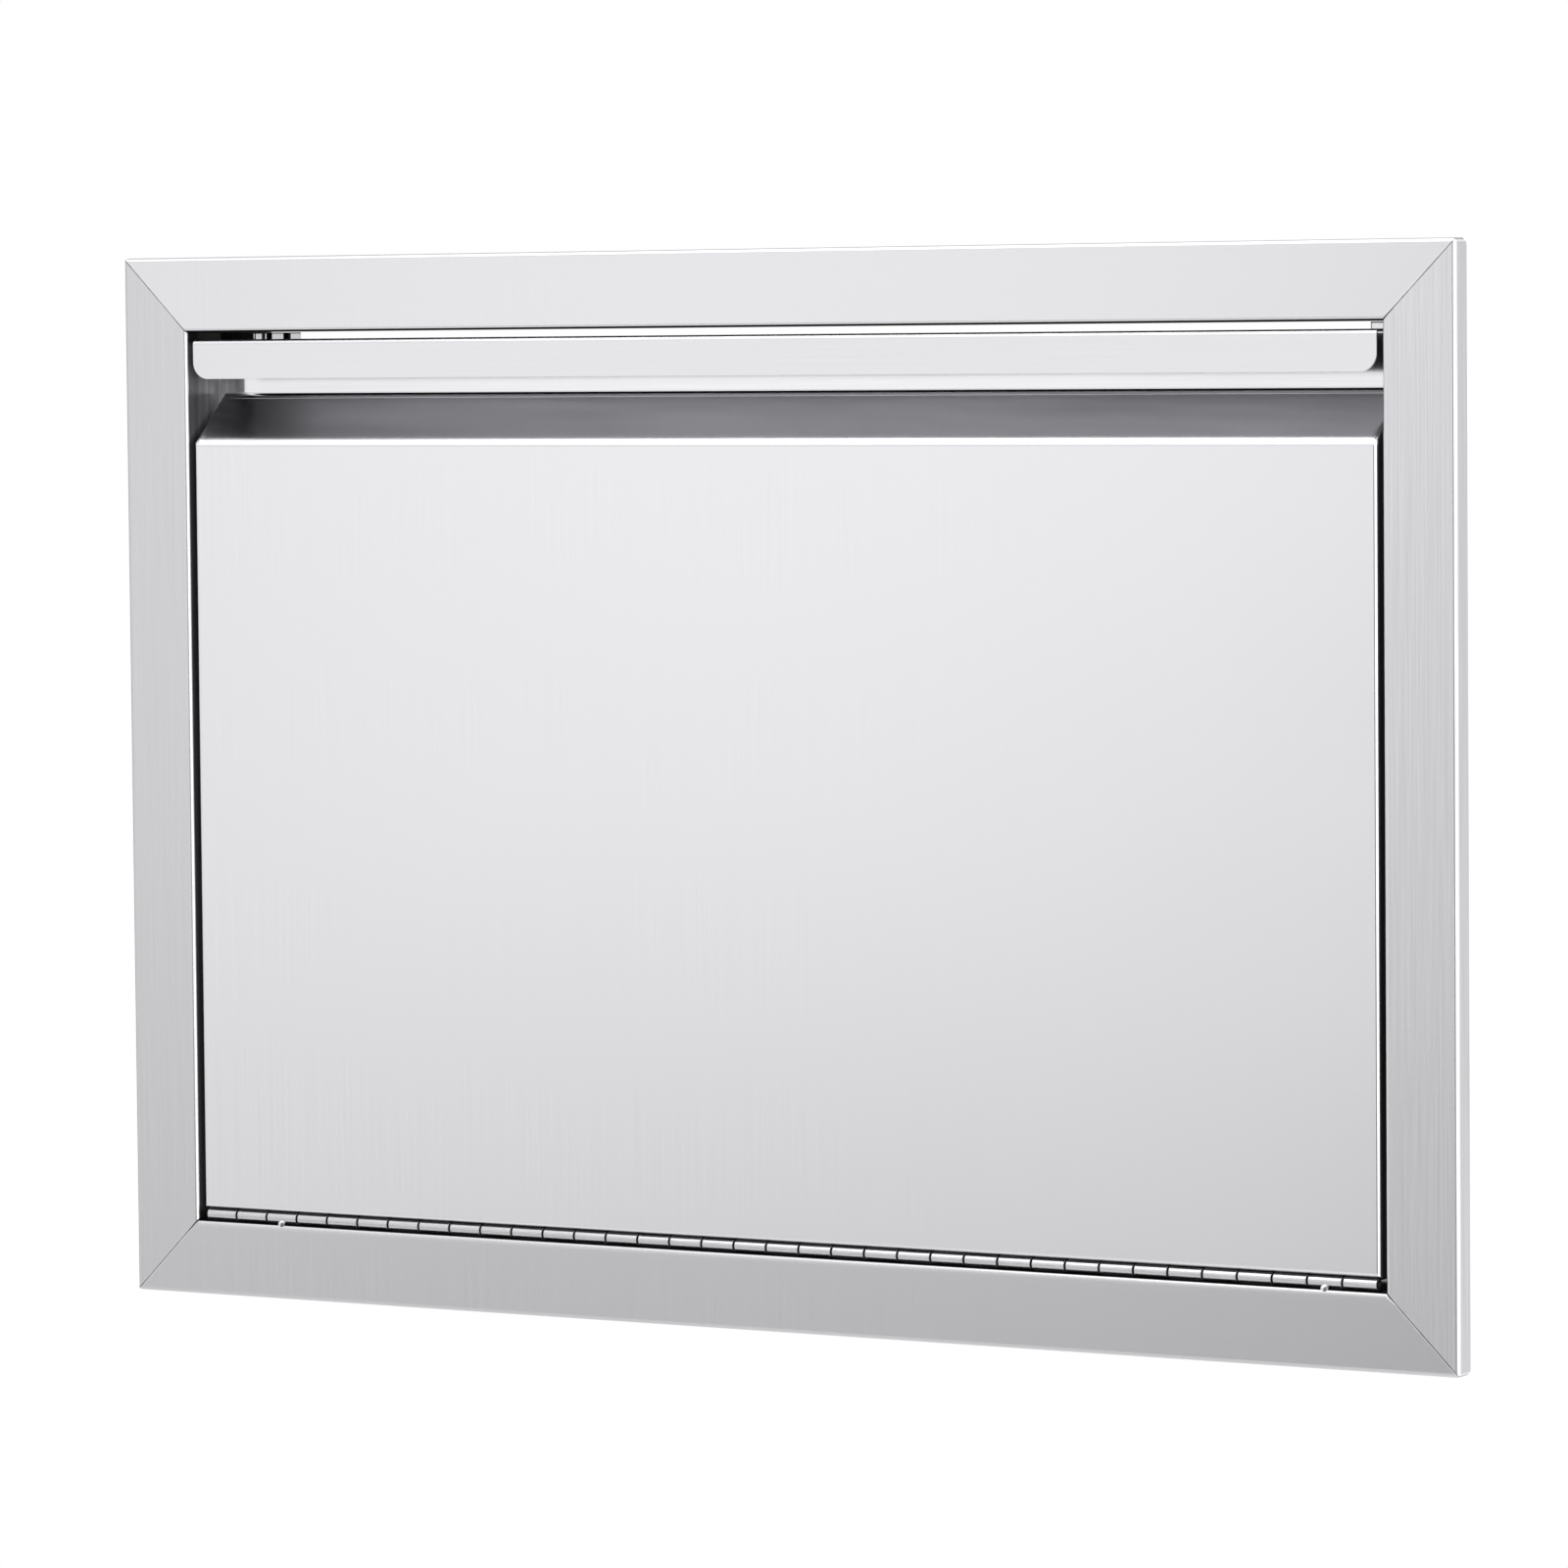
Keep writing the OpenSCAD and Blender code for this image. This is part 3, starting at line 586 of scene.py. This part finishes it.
def inside_frame():
    """1 behind the bends round the opening, from Start to End below the face, and on what faces
    back, but not on the outside of the return, and 1 on the seams and edges of the mitres. What
    looks into the opening gets painted shade: darkest at the front, darker still near the top and
    bottom of the frame, and grey deeper on the jambs. The rest is unshaded mill finish."""
    tree, given, out, place, facing = inside_group("inside_of_frame", Start=1.1 * MM, End=1.6 * MM)
    depth = depth_of(tree, place)
    from_side, from_end = from_outline(tree, place)
    off_return = product(
        tree, remap(tree, from_side, 0.6 * MM, 0.7 * MM),
        remap(tree, from_end, RETURN_DEPTH, RETURN_DEPTH + 0.1 * MM),
    )
    deep = remap(tree, depth, given["Start"], given["End"])
    inner = product(tree, highest(tree, deep, facing_back(tree, facing)), off_return)
    seam, edge = seam_and_highlight(tree, from_side, from_end)
    edge = product(tree, edge, opposite(tree, inner))
    tree.links.new(highest(tree, inner, seam, edge), out["Inside"])

    past_return = remap(tree, maths(tree, "MINIMUM", from_side, from_end), *OPENING_FROM)
    in_opening = product(tree, looking_in(tree, place, facing), past_return)
    unshaded = opposite(tree, highest(tree, in_opening, seam))
    # Painted shade: the given tone, darker within 35 mm of the top and bottom, grey deeper on the
    # jambs.
    tone = product(tree, given["Tone"], remap(tree, from_end, *GAP_ENDS, 0.15, 1.0))
    tone = blended(tree, remap(tree, depth, *JAMB_DEPTHS), tone, JAMB_TONE)
    tone = blended(tree, unshaded, tone, MILL_TONE)
    # The bright line beside each seam: a painted highlight on the rail's smoother cut edge.
    tree.links.new(blended(tree, edge, tone, 0.98), out["Tone"])
    streak = blended(tree, unshaded, given["Streak"], MILL_STREAK)
    tree.links.new(blended(tree, edge, streak, 0.0), out["Streak"])
    tree.links.new(blended(tree, edge, given["Dullness"], 0.15), out["Roughness"])
    return tree


INSIDE_FRAME = inside_frame()
print(INSIDE_FRAME.name, "has", len(INSIDE_FRAME.nodes), "nodes")

# %% [markdown]
# ## Inside of the door and of the finger pull
# The door's side returns and foot are only seen through the gaps, where they are painted black,
# as shade, or with the door open, where they turn grey further back. Under its shelf the finger
# pull is painted with shade, most at the rear and at the left end. Its back wall has been polished,
# so it mirrors the lip in front of it, and its tone falls a little towards both ends, as painted
# shade.

# %% Inside of the door and of the finger pull
BACK_OF_PULL = 18 * MM
DOOR_UNSHADED, DOOR_UNSHADED_TONE = (5 * MM, 14 * MM), 0.40


def inside_door():
    """1 on the side returns and the foot of the door, deeper than their bends, and on what faces
    back. The slope under the finger pull stays 0. Their tone is painted shade at the front and grey
    further back."""
    tree, given, out, place, facing = inside_group("inside_of_door")
    depth = depth_of(tree, place)
    sideways = remap(tree, maths(tree, "ABSOLUTE", facing["X"]), 0.5, 0.9)
    side = product(tree, remap(tree, depth, 2.0 * MM, 2.4 * MM), sideways)
    foot = remap(tree, facing["Z"], -0.45, -0.75)
    tree.links.new(highest(tree, side, foot, facing_back(tree, facing)), out["Inside"])
    unshaded = remap(tree, depth, *DOOR_UNSHADED)
    # Painted shade near the front of the returns and foot, grey further back.
    tree.links.new(blended(tree, unshaded, given["Tone"], DOOR_UNSHADED_TONE), out["Tone"])
    return tree


def shelf_painted_shade(tree, place, depth):
    """The painted shade of the shelf: a tone from one at its front to one at its rear, both of
    which rise from the left end towards the middle. The rear falls off again to the right."""
    front = remap(tree, place["X"], -0.23, -0.06, 0.42, 0.62)
    rear = product(
        tree, remap(tree, place["X"], -0.235, -0.19, 0.34, 0.45),
        remap(tree, place["X"], 0.08, 0.24, 1.0, 0.80),
    )
    return blended(tree, remap(tree, depth, 5 * MM, 19 * MM), front, rear)


def inside_pull():
    """1 on what faces back, on the underside of the shelf and on the back wall, whose rear is
    unshaded mill finish. What faces back and the underside of the shelf get painted shade."""
    tree, given, out, place, facing = inside_group("inside_of_pull")
    depth = depth_of(tree, place)
    back = facing_back(tree, facing)
    rear_wall = product(tree, back, remap(tree, depth, 14 * MM, 16 * MM))
    shelf = remap(tree, facing["Z"], -0.15, -0.6)
    at_wall = remap(tree, depth, BACK_OF_PULL, BACK_OF_PULL + MM)
    wall = product(tree, at_wall, remap(tree, facing["Y"], -0.6, -0.8))
    tree.links.new(highest(tree, back, shelf, wall), out["Inside"])

    tone = blended(tree, rear_wall, given["Tone"], MILL_TONE)
    # Painted shade under the shelf.
    tone = blended(tree, shelf, tone, shelf_painted_shade(tree, place, depth))
    # The back wall's tone falls a little towards both ends: painted shade.
    wall_tone = product(
        tree, remap(tree, place["X"], -0.24, -0.06, 0.88, 0.95),
        remap(tree, place["X"], 0.10, 0.25, 1.0, 0.96),
    )
    tree.links.new(blended(tree, wall, tone, wall_tone), out["Tone"])
    unshaded = highest(tree, wall, rear_wall)
    tree.links.new(blended(tree, unshaded, given["Streak"], 0.02), out["Streak"])
    tree.links.new(blended(tree, wall, given["Dullness"], 0.11), out["Roughness"])
    return tree


INSIDE_DOOR, INSIDE_PULL = inside_door(), inside_pull()
print("back wall of the finger pull", round(BACK_OF_PULL / MM), "mm behind the face")

# %% [markdown]
# ## Inside of the hinge
# The knuckles of a continuous hinge are bright, since they rub. Their ends, the leaves behind them
# and thin lines between the knuckles are painted black, as shade, like the gaps. The lines have to
# be drawn at the right places, so they are counted from the ends of the two leaves.

# %% Inside of the hinge
KNUCKLES = 36
KNUCKLE_GAP = 0.5 * MM
HINGE_UNSHADED, DOOR_LEAF_UNSHADED, LEAF_TONE = (18 * MM, 30 * MM), (6 * MM, 14 * MM), 0.45
DOOR_LEAF_Z = (34.6 * MM, 35.0 * MM)


def inside_hinge():
    """1 on the leaves, behind the knuckles, on the ends of the knuckles, and on a line round both
    ends of each, all painted shade. The leaves turn grey further back, the upper one, on the door,
    sooner."""
    tree, given, out, place, facing = inside_group("inside_of_hinge")
    depth = depth_of(tree, place)
    leaves = [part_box(name) for name in ("hinge_frame_leaf", "hinge_door_leaf")]
    first = min(low[0] for low, _ in leaves) - KNUCKLE_GAP / 2
    last = max(high[0] for _, high in leaves) + KNUCKLE_GAP / 2
    along = remap(tree, place["X"], first, last, 0.0, KNUCKLES)
    line = remap(tree, distance(tree, maths(tree, "FRACT", along), 0.5), 0.455, 0.475)
    leaf = remap(tree, depth, 2.1 * MM, 3.0 * MM)
    ends = remap(tree, maths(tree, "ABSOLUTE", facing["X"]), 0.4, 0.6)
    tree.links.new(highest(tree, leaf, ends, line), out["Inside"])
    on_door = product(
        tree, remap(tree, place["Z"], *DOOR_LEAF_Z), remap(tree, depth, *DOOR_LEAF_UNSHADED)
    )
    unshaded = highest(tree, remap(tree, depth, *HINGE_UNSHADED), on_door)
    # Painted shade on the leaves, knuckle ends and lines, grey further back.
    tree.links.new(blended(tree, unshaded, given["Tone"], LEAF_TONE), out["Tone"])
    return tree


INSIDE_HINGE = inside_hinge()
print(KNUCKLES, "knuckles counted across the hinge")

# %% [markdown]
# ## Edges of the catches
# The two catches show only their fronts and upper corners, in the gap above the door, as small
# bright patches between dark ones. A catch is cast with rounded edges and with slots for the plates
# that carry the magnet's pull. The dark on those, on its upper edge and inner end, and on the front
# of the left catch is painted shade, drawn into the finish, since the gap hides whatever lies
# deeper.

# %% Edges of the catches
SLOT_DEPTHS = (6.4 * MM, 25.5 * MM)


def inside_catch():
    """1 within half a millimetre of the upper edge and of the inner end of a catch, on its rounded
    edges, in two slots across its side, and on the front of the left one. All of it is painted
    shade."""
    low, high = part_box("catch_housing_right")
    tree, _, out, place, facing = inside_group("edges_of_catch")
    above = remap(tree, place["Z"], high[2] - 0.6 * MM, high[2] - 0.3 * MM)
    side = remap(tree, maths(tree, "ABSOLUTE", facing["X"]), 0.95, 0.85)
    from_middle = maths(tree, "ABSOLUTE", place["X"])
    end = product(tree, remap(tree, from_middle, low[0] + 0.7 * MM, low[0] + 0.4 * MM), side)
    rounded = product(tree, band(tree, facing["Y"], -0.9, -0.5, -0.4, -0.1), side)
    on_left = remap(tree, place["X"], 0.0, -0.1)
    # Painted shade on the front of the left catch.
    shaded_left_front = product(tree, on_left, remap(tree, facing["Y"], -0.8, -0.9))
    slots = [
        remap(tree, distance(tree, place["Y"], low[1] + depth), 1.5 * MM, 1.1 * MM)
        for depth in SLOT_DEPTHS
    ]
    tree.links.new(highest(tree, above, end, rounded, shaded_left_front, *slots), out["Inside"])
    return tree


INSIDE_CATCH = inside_catch()
print("catches have", len(SLOT_DEPTHS), "slots each")

# %% [markdown]
# ## How light runs over brushed steel
# Two things make a bend in brushed sheet look real. The polishing belt has rounded it, so it needs
# softer normals than the CAD model has, which Blender's Bevel node gives without changing the
# mesh. And scratches spread a reflection across themselves but not along themselves. The shader's
# Anisotropic value does that, and its Tangent says which way across is. The steel itself is a grey
# with a trace of blue.

# %% Bends and directions
COOL = np.array([0.999, 0.997, 1.027])
PULL_BEND = (353.0, 355.0, 360.0, 364.5, 4.4)
SILL_BEND = (25.5, 28.0, 40.0, 41.0, 2.6)
EASED_R = 0.35 * MM


def soft_bend(tree, streaks, start, full, falling, gone, most):
    """The radius over which the normals are evened out. It is 0 below start, most from full to
    falling and 0 above gone, all in millimetres of height, and a little more or less along each
    scratch."""
    height = place_and_normal(tree)[0]["Z"]
    near = band(tree, height, start * MM, full * MM, falling * MM, gone * MM)
    return product(tree, from_noise(tree, streaks, 0.8 * most * MM, 1.1 * most * MM), near)


def across_grain(tree, brushed_up):
    """The direction across the scratches: the cross product of the normal and of the direction
    along them. That is up, but backwards on what lies flat, or, for the level grain, sideways."""
    _, facing, _, normal = place_and_normal(tree)
    lying = maths(tree, "ABSOLUTE", facing["Z" if brushed_up else "X"])
    standing = opposite(tree, lying)
    parts = {1: lying, 2: standing} if brushed_up else {0: standing, 2: lying}
    along = add_node(tree, "ShaderNodeCombineXYZ", parts).outputs[0]
    vectors = {0: normal, 1: along}
    across = add_node(tree, "ShaderNodeVectorMath", vectors, operation="CROSS_PRODUCT").outputs[0]
    turned = add_node(
        tree, "ShaderNodeVectorTransform", {0: across},
        vector_type="VECTOR", convert_from="OBJECT", convert_to="WORLD",
    )
    return turned.outputs[0]


def painted_fold_line(tree, level, fold):
    """Darkens a level by the share fold where the sheet begins to turn to the right: a painted
    shade line, on bends that turn to the right only."""
    fold_line = band(tree, place_and_normal(tree)[1]["X"], 0.03, 0.10, 0.30, 0.42)
    return product(tree, level, remap(tree, fold_line, 0.0, 1.0, 1.0, 1.0 - fold))


print("the bend of the finger pull is soft from", PULL_BEND[0], "to", PULL_BEND[3], "mm")

# %% [markdown]
# ## Brushed steel
# One function makes every steel in the model, because the pieces differ only in a few numbers: how
# bright the steel is, how strong its streaks are, how rough it is, and which faces count as its
# inside. The streaks change three things at once, as real scratches do: the tone a little, the
# roughness a little, and the height by a few millionths of a metre, through a Bump node.

# %% Steel


def steel(
    name, tone, grain=GRAIN_UP, streak=0.02, rough=0.20, rough_change=0.03, bump=1.5e-6,
    fineness=FINENESS, run=RUN, spread=0.8, fold=0.0, haze=0.015, bend=None, inside=None,
    **inside_settings,
):
    """The outside's level is tone times (1 + streak times the streaks + haze times the haze), with
    both noises between -1 and 1. On the inside, the group inside gives the tone, which is mostly
    painted shade, the strength of the streaks and the roughness. Fold darkens a painted shade line
    where the sheet turns to the right. A bend, where one is given, is a soft one: its numbers are
    soft_bend's. Small rolled pieces have all their edges eased instead."""
    material, tree, shader = new_material(name)
    marks = use_group(tree, grain, Fineness=fineness, Run=run)
    level, strength = tone, streak
    roughness = maths(
        tree, "ADD", from_noise(tree, marks["Haze"], -rough_change / 2, rough_change / 2),
        from_noise(tree, marks["Streaks"], rough, rough + rough_change),
    )
    if inside:
        hidden = use_group(tree, inside, **inside_settings)
        level = blended(tree, hidden["Inside"], tone, hidden["Tone"])
        roughness = blended(tree, hidden["Inside"], roughness, hidden["Roughness"])
        strength = blended(tree, hidden["Inside"], streak, hidden["Streak"])
    change = maths(
        tree, "ADD", product(tree, from_noise(tree, marks["Streaks"], -1.0, 1.0), strength),
        from_noise(tree, marks["Haze"], -haze, haze),
    )
    level = product(tree, level, maths(tree, "ADD", 1.0, change))
    # A painted shade line where the sheet turns to the right.
    if fold:
        level = painted_fold_line(tree, level, fold)
    colour = add_node(tree, "ShaderNodeVectorMath", {0: COOL, 3: level}, operation="SCALE")
    tree.links.new(colour.outputs[0], shader.inputs["Base Color"])
    tree.links.new(roughness, shader.inputs["Roughness"])
    ridges = add_node(tree, "ShaderNodeBump", {"Height": marks["Streaks"], "Distance": bump})
    if grain is GRAIN_LEVEL or bend:
        radius = soft_bend(tree, marks["Streaks"], *bend) if bend else EASED_R
        eased = add_node(tree, "ShaderNodeBevel", {"Radius": radius}, samples=6)
        tree.links.new(eased.outputs[0], ridges.inputs["Normal"])
    tree.links.new(ridges.outputs[0], shader.inputs["Normal"])
    shader.inputs["Metallic"].default_value = 1.0
    shader.inputs["Anisotropic"].default_value = spread
    tree.links.new(across_grain(tree, grain is GRAIN_UP), shader.inputs["Tangent"])
    return material


print("streaks run", round(FINENESS / RUN), "times as long as they are wide")

# %% [markdown]
# ## Two materials that aren't brushed
# The hinge is tacked to the frame by two frozen drops of weld. On each, a dark crest, bright metal
# round that and a black foot are a painted reflection with painted shade, as the drop looks from
# the right front. The ring is a matter of which way the surface faces, so a colour ramp turns that
# into tone. The magnets are pressed ferrite, a near-black ceramic, and need no more than a fine
# speckle.

# %% Weld drops and ferrite
PAINTED_RING_FACES = (0.500, -0.857, 0.121)
PAINTED_RING = ((0.0, 0.22), (0.10, 0.28), (0.24, 0.98), (0.62, 0.95), (0.82, 0.04))


def tack():
    """The ring's number is 1 minus the dot product of the normal and of a fixed direction towards
    the right front: 0 where the surface faces that way, and 1 where it stands square to it. The
    ramp
    makes it a painted reflection: dark there, bright round it and black at the outline."""
    material, tree, shader = new_material("tack_weld")
    vectors = {0: place_and_normal(tree)[3], 1: PAINTED_RING_FACES}
    along = add_node(tree, "ShaderNodeVectorMath", vectors, operation="DOT_PRODUCT")
    ring = opposite(tree, along.outputs["Value"])
    # Painted reflection and shade: dark crest, bright ring, black outline.
    ramp = add_node(tree, "ShaderNodeValToRGB", {0: ring})
    stops = ramp.color_ramp.elements
    for share, level in PAINTED_RING:
        stop = stops[0] if share == 0.0 else stops.new(share)
        stop.color = *(level * COOL), 1.0
    stops[-1].color = grey(0.02)
    marks = use_group(tree, GRAIN_LEVEL, Fineness=3000.0, Run=900.0)
    tree.links.new(ramp.outputs[0], shader.inputs["Base Color"])
    tree.links.new(from_noise(tree, marks["Streaks"], 0.12, 0.22), shader.inputs["Roughness"])
    shader.inputs["Metallic"].default_value = 1.0
    return material


def ferrite():
    """Grains: a noise of the place times 4000, so each is about a quarter of a millimetre wide."""
    material, tree, shader = new_material("pressed_ferrite")
    spot = place_and_normal(tree)[2]
    inputs = {"Vector": spot, "Scale": 4000.0, "Detail": 3.0}
    grains = add_node(tree, "ShaderNodeTexNoise", inputs).outputs[0]
    share = remap(tree, grains, 0.45, 0.7)
    tree.links.new(mixed(tree, share, grey(0.03), grey(0.10)), shader.inputs["Base Color"])
    tree.links.new(from_noise(tree, grains, 0.5, 0.7), shader.inputs["Roughness"])
    return material


print("the ring of a weld drop has", len(PAINTED_RING), "tones")

# %% [markdown]
# ## Finishes of the sheet
# The four sides of the frame were cut from different sheets, and in the photograph each has its own
# tone. The brushing shows most on the right-hand stile and is almost lost on the door. A table
# keeps these few numbers side by side, where they are easy to compare.

# %% Finishes of the sheet
# Each Tone given with an inside group below is the painted shade of that inside, and fold the
# strength of a painted shade line.
RAIL = {"inside": INSIDE_FRAME, "Tone": 0.06, "Start": 0.35 * MM, "End": 0.55 * MM}
TOP_RAIL = RAIL | {"Start": 0.2 * MM, "End": 0.3 * MM}
FINISHES = {
    "frame_top_rail": steel("frame_top", 0.89, streak=0.014, **TOP_RAIL),
    "frame_bottom_rail": steel("frame_bottom", 0.74, streak=0.018, bend=SILL_BEND, **RAIL),
    "frame_left_stile": steel("frame_left", 0.755, streak=0.022, inside=INSIDE_FRAME, Tone=0.12),
    "frame_right_stile": steel(
        "frame_right", 0.835, streak=0.06, fineness=1300, fold=0.3, inside=INSIDE_FRAME,
    ),
    "door_panel": steel(
        "door_face", 0.93, streak=0.015, rough=0.17, fold=0.5, haze=0.006, bend=PULL_BEND,
        inside=INSIDE_DOOR, Tone=0.07,
    ),
    "door_pull": steel(
        "finger_pull", 0.89, grain=GRAIN_LEVEL, rough=0.18, streak=0.018, inside=INSIDE_PULL,
        Tone=0.03,
    ),
    "door_liner": steel("liner", 0.60, rough=0.34, streak=0.03, rough_change=0.08),
}
print("sheet finishes:", len(FINISHES))

# %% [markdown]
# ## Finishes of the hardware
# Rivets, hinge, catches and strikes are plated, rolled or cast, and most of their finishes serve
# several pieces. So a finish goes to every piece whose name starts with the finish's key, and
# where several keys fit, the longest wins: the pin has its own, and both leaves share the hinge's.

# %% Finishes of the hardware
RIVET = steel("rivet", 0.66, rough=0.25, streak=0.05, fineness=3000)
FINISHES |= {
    "corner_welds": steel("weld_bead", 0.55, grain=GRAIN_LEVEL, rough=0.3, streak=0.1),
    "pull_seam_weld": steel("seam_weld", 0.95, rough=0.10, rough_change=0.01, streak=0.01),
    # The Tone given to the hinge and the catches is painted shade too.
    "hinge": steel(
        "hinge", 0.70, grain=GRAIN_LEVEL, rough=0.20, streak=0.36, fineness=1600, run=80,
        inside=INSIDE_HINGE, Tone=0.03, Dullness=0.9,
    ),
    # The pin's near-black tone is painted shade in the gaps between the knuckles.
    "hinge_pin": steel("pin", 0.05, grain=GRAIN_LEVEL, rough=0.8),
    "hinge_tack_welds": tack(),
    "hinge_frame_rivets": RIVET,
    "hinge_door_rivets": RIVET,
    "liner_rivets": RIVET,
    "catch": steel("plating", 0.72, rough=0.14, streak=0.02, fineness=4000),
    "catch_housing": steel(
        "satin_alloy", 0.80, rough=0.07, rough_change=0.01, streak=0.04, inside=INSIDE_CATCH,
        Tone=0.02,
    ),
    "catch_magnet": ferrite(),
    "catch_poles": steel("pole_plate", 0.35, rough=0.3, grain=GRAIN_LEVEL),
    "strike": steel("strike", 0.5, rough=0.3, grain=GRAIN_LEVEL),
}
for node_name, node in nodes.items():
    key = max(filter(node_name.startswith, FINISHES), key=len)
    node.data.materials.clear()
    node.data.materials.append(FINISHES[key])
print("finishes:", sorted({node.data.materials[0].name for node in nodes.values()}))

# %% [markdown]
# ## Welds that look like welds
# The CAD model has a plain round bead behind each mitre and outside each corner of the jambs. A
# real bead is a row of little overlapping pools, each frozen behind the arc as it moved on. Here
# that is one surface: a part of a circle carried along a line, whose radius rises and falls with
# the distance travelled. Every crest is bowed forward in the middle, so the distance is counted
# from the middle of the bead a little earlier than at its sides.

# %% Weld bead
BEAD_PITCH = 1.6 * MM
BEAD_DIP = 0.12
BEAD_BOW = 0.45
BEAD_STEPS, BEAD_SPOKES = 6, 18


def bead(start, end, side, up, radius, angle_from, angle_to):
    """A bead from start to end. At distance s along it and angle a across it, its radius is the
    given one times 1 - dip * (1 - |sin(pi * (s / pitch - bow * sin(pi * share of the angle)))|),
    and it shrinks to nothing at both ends over one pitch, as a quarter of a circle. The last
    column of points is the line itself, which closes the bead at the rear."""
    start, end, side, up = (np.array(v, float) for v in (start, end, side, up))
    length = np.linalg.norm(end - start)
    rows = int(BEAD_STEPS * length / BEAD_PITCH)
    s = np.linspace(0, length, rows)[:, None]
    share = np.linspace(0, 1, BEAD_SPOKES)
    angle = np.radians(angle_from + (angle_to - angle_from) * share)
    phase = s / BEAD_PITCH - BEAD_BOW * np.sin(np.pi * share)
    ends = np.clip(np.minimum(s, length - s) / BEAD_PITCH, 0, 1)
    r = radius * (1 - BEAD_DIP * (1 - np.abs(np.sin(np.pi * phase)))) * np.sqrt(1 - (1 - ends) ** 2)
    line = (start + (end - start) * s / length)[:, None]
    rim = line + (r * np.cos(angle))[..., None] * side + (r * np.sin(angle))[..., None] * up
    return np.concatenate([rim, np.broadcast_to(line, (rows, 1, 3))], 1)


print("a bead has a crest every", round(BEAD_PITCH / MM, 1), "mm")

# %% [markdown]
# ## Four corners
# The frame is the same at its four corners, so the beads are worked out once, for the lower right
# one, and mirrored to the others. Mirroring turns a surface inside out, so the faces of a copy that
# was mirrored once have their corners listed the other way round.

# %% Corner beads
SHEET = 1.2 * MM
JAMB = 31.0 * MM - SHEET
JAMB_END = 63.5 * MM - 3 * MM
DIAGONAL = (0.7071, 0, 0.7071)


def corner_beads():
    """Both beads of the lower right corner: behind the mitre, and outside where the jambs meet."""
    back_y, near, far = FACE_Y + SHEET, 3.4 * MM, JAMB - 1.4 * MM
    mitre = bead(
        (HALF_WIDE - near, back_y, near), (HALF_WIDE - far, back_y, far),
        DIAGONAL, (0, 1, 0), 1.2 * MM, 0, 180,
    )
    corner = bead(
        (HALF_WIDE - JAMB, FACE_Y + 1.7 * MM, JAMB), (HALF_WIDE - JAMB, FACE_Y + JAMB_END, JAMB),
        (1, 0, 0), (0, 0, 1), 2.4 * MM, 90, -180,
    )
    return mitre, corner


def at_four_corners(shapes):
    """The points and faces of all the shapes, each as it is, mirrored, upside down, and both."""
    points, faces, count = [], [], 0
    for shape in shapes:
        rows, columns = shape.shape[:2]
        for x_sign, upside in ((1, False), (-1, False), (1, True), (-1, True)):
            copy = shape * (x_sign, 1, 1)
            if upside:
                copy = copy * (1, 1, -1) + (0, 0, 2 * MIDDLE_Z)
            quads = np.array(grid_faces(rows, columns, closed=True)) + count
            if (x_sign < 0) != upside:
                quads = quads[:, ::-1]
            points.append(copy.reshape(-1, 3))
            faces += quads.tolist()
            count += rows * columns
    return np.concatenate(points), faces


beads = mesh_object("corner_weld_beads", *at_four_corners(corner_beads()), FINISHES["corner_welds"])
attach(beads, "frame")
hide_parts("corner_welds")
print("weld beads:", len(beads.data.polygons), "faces")
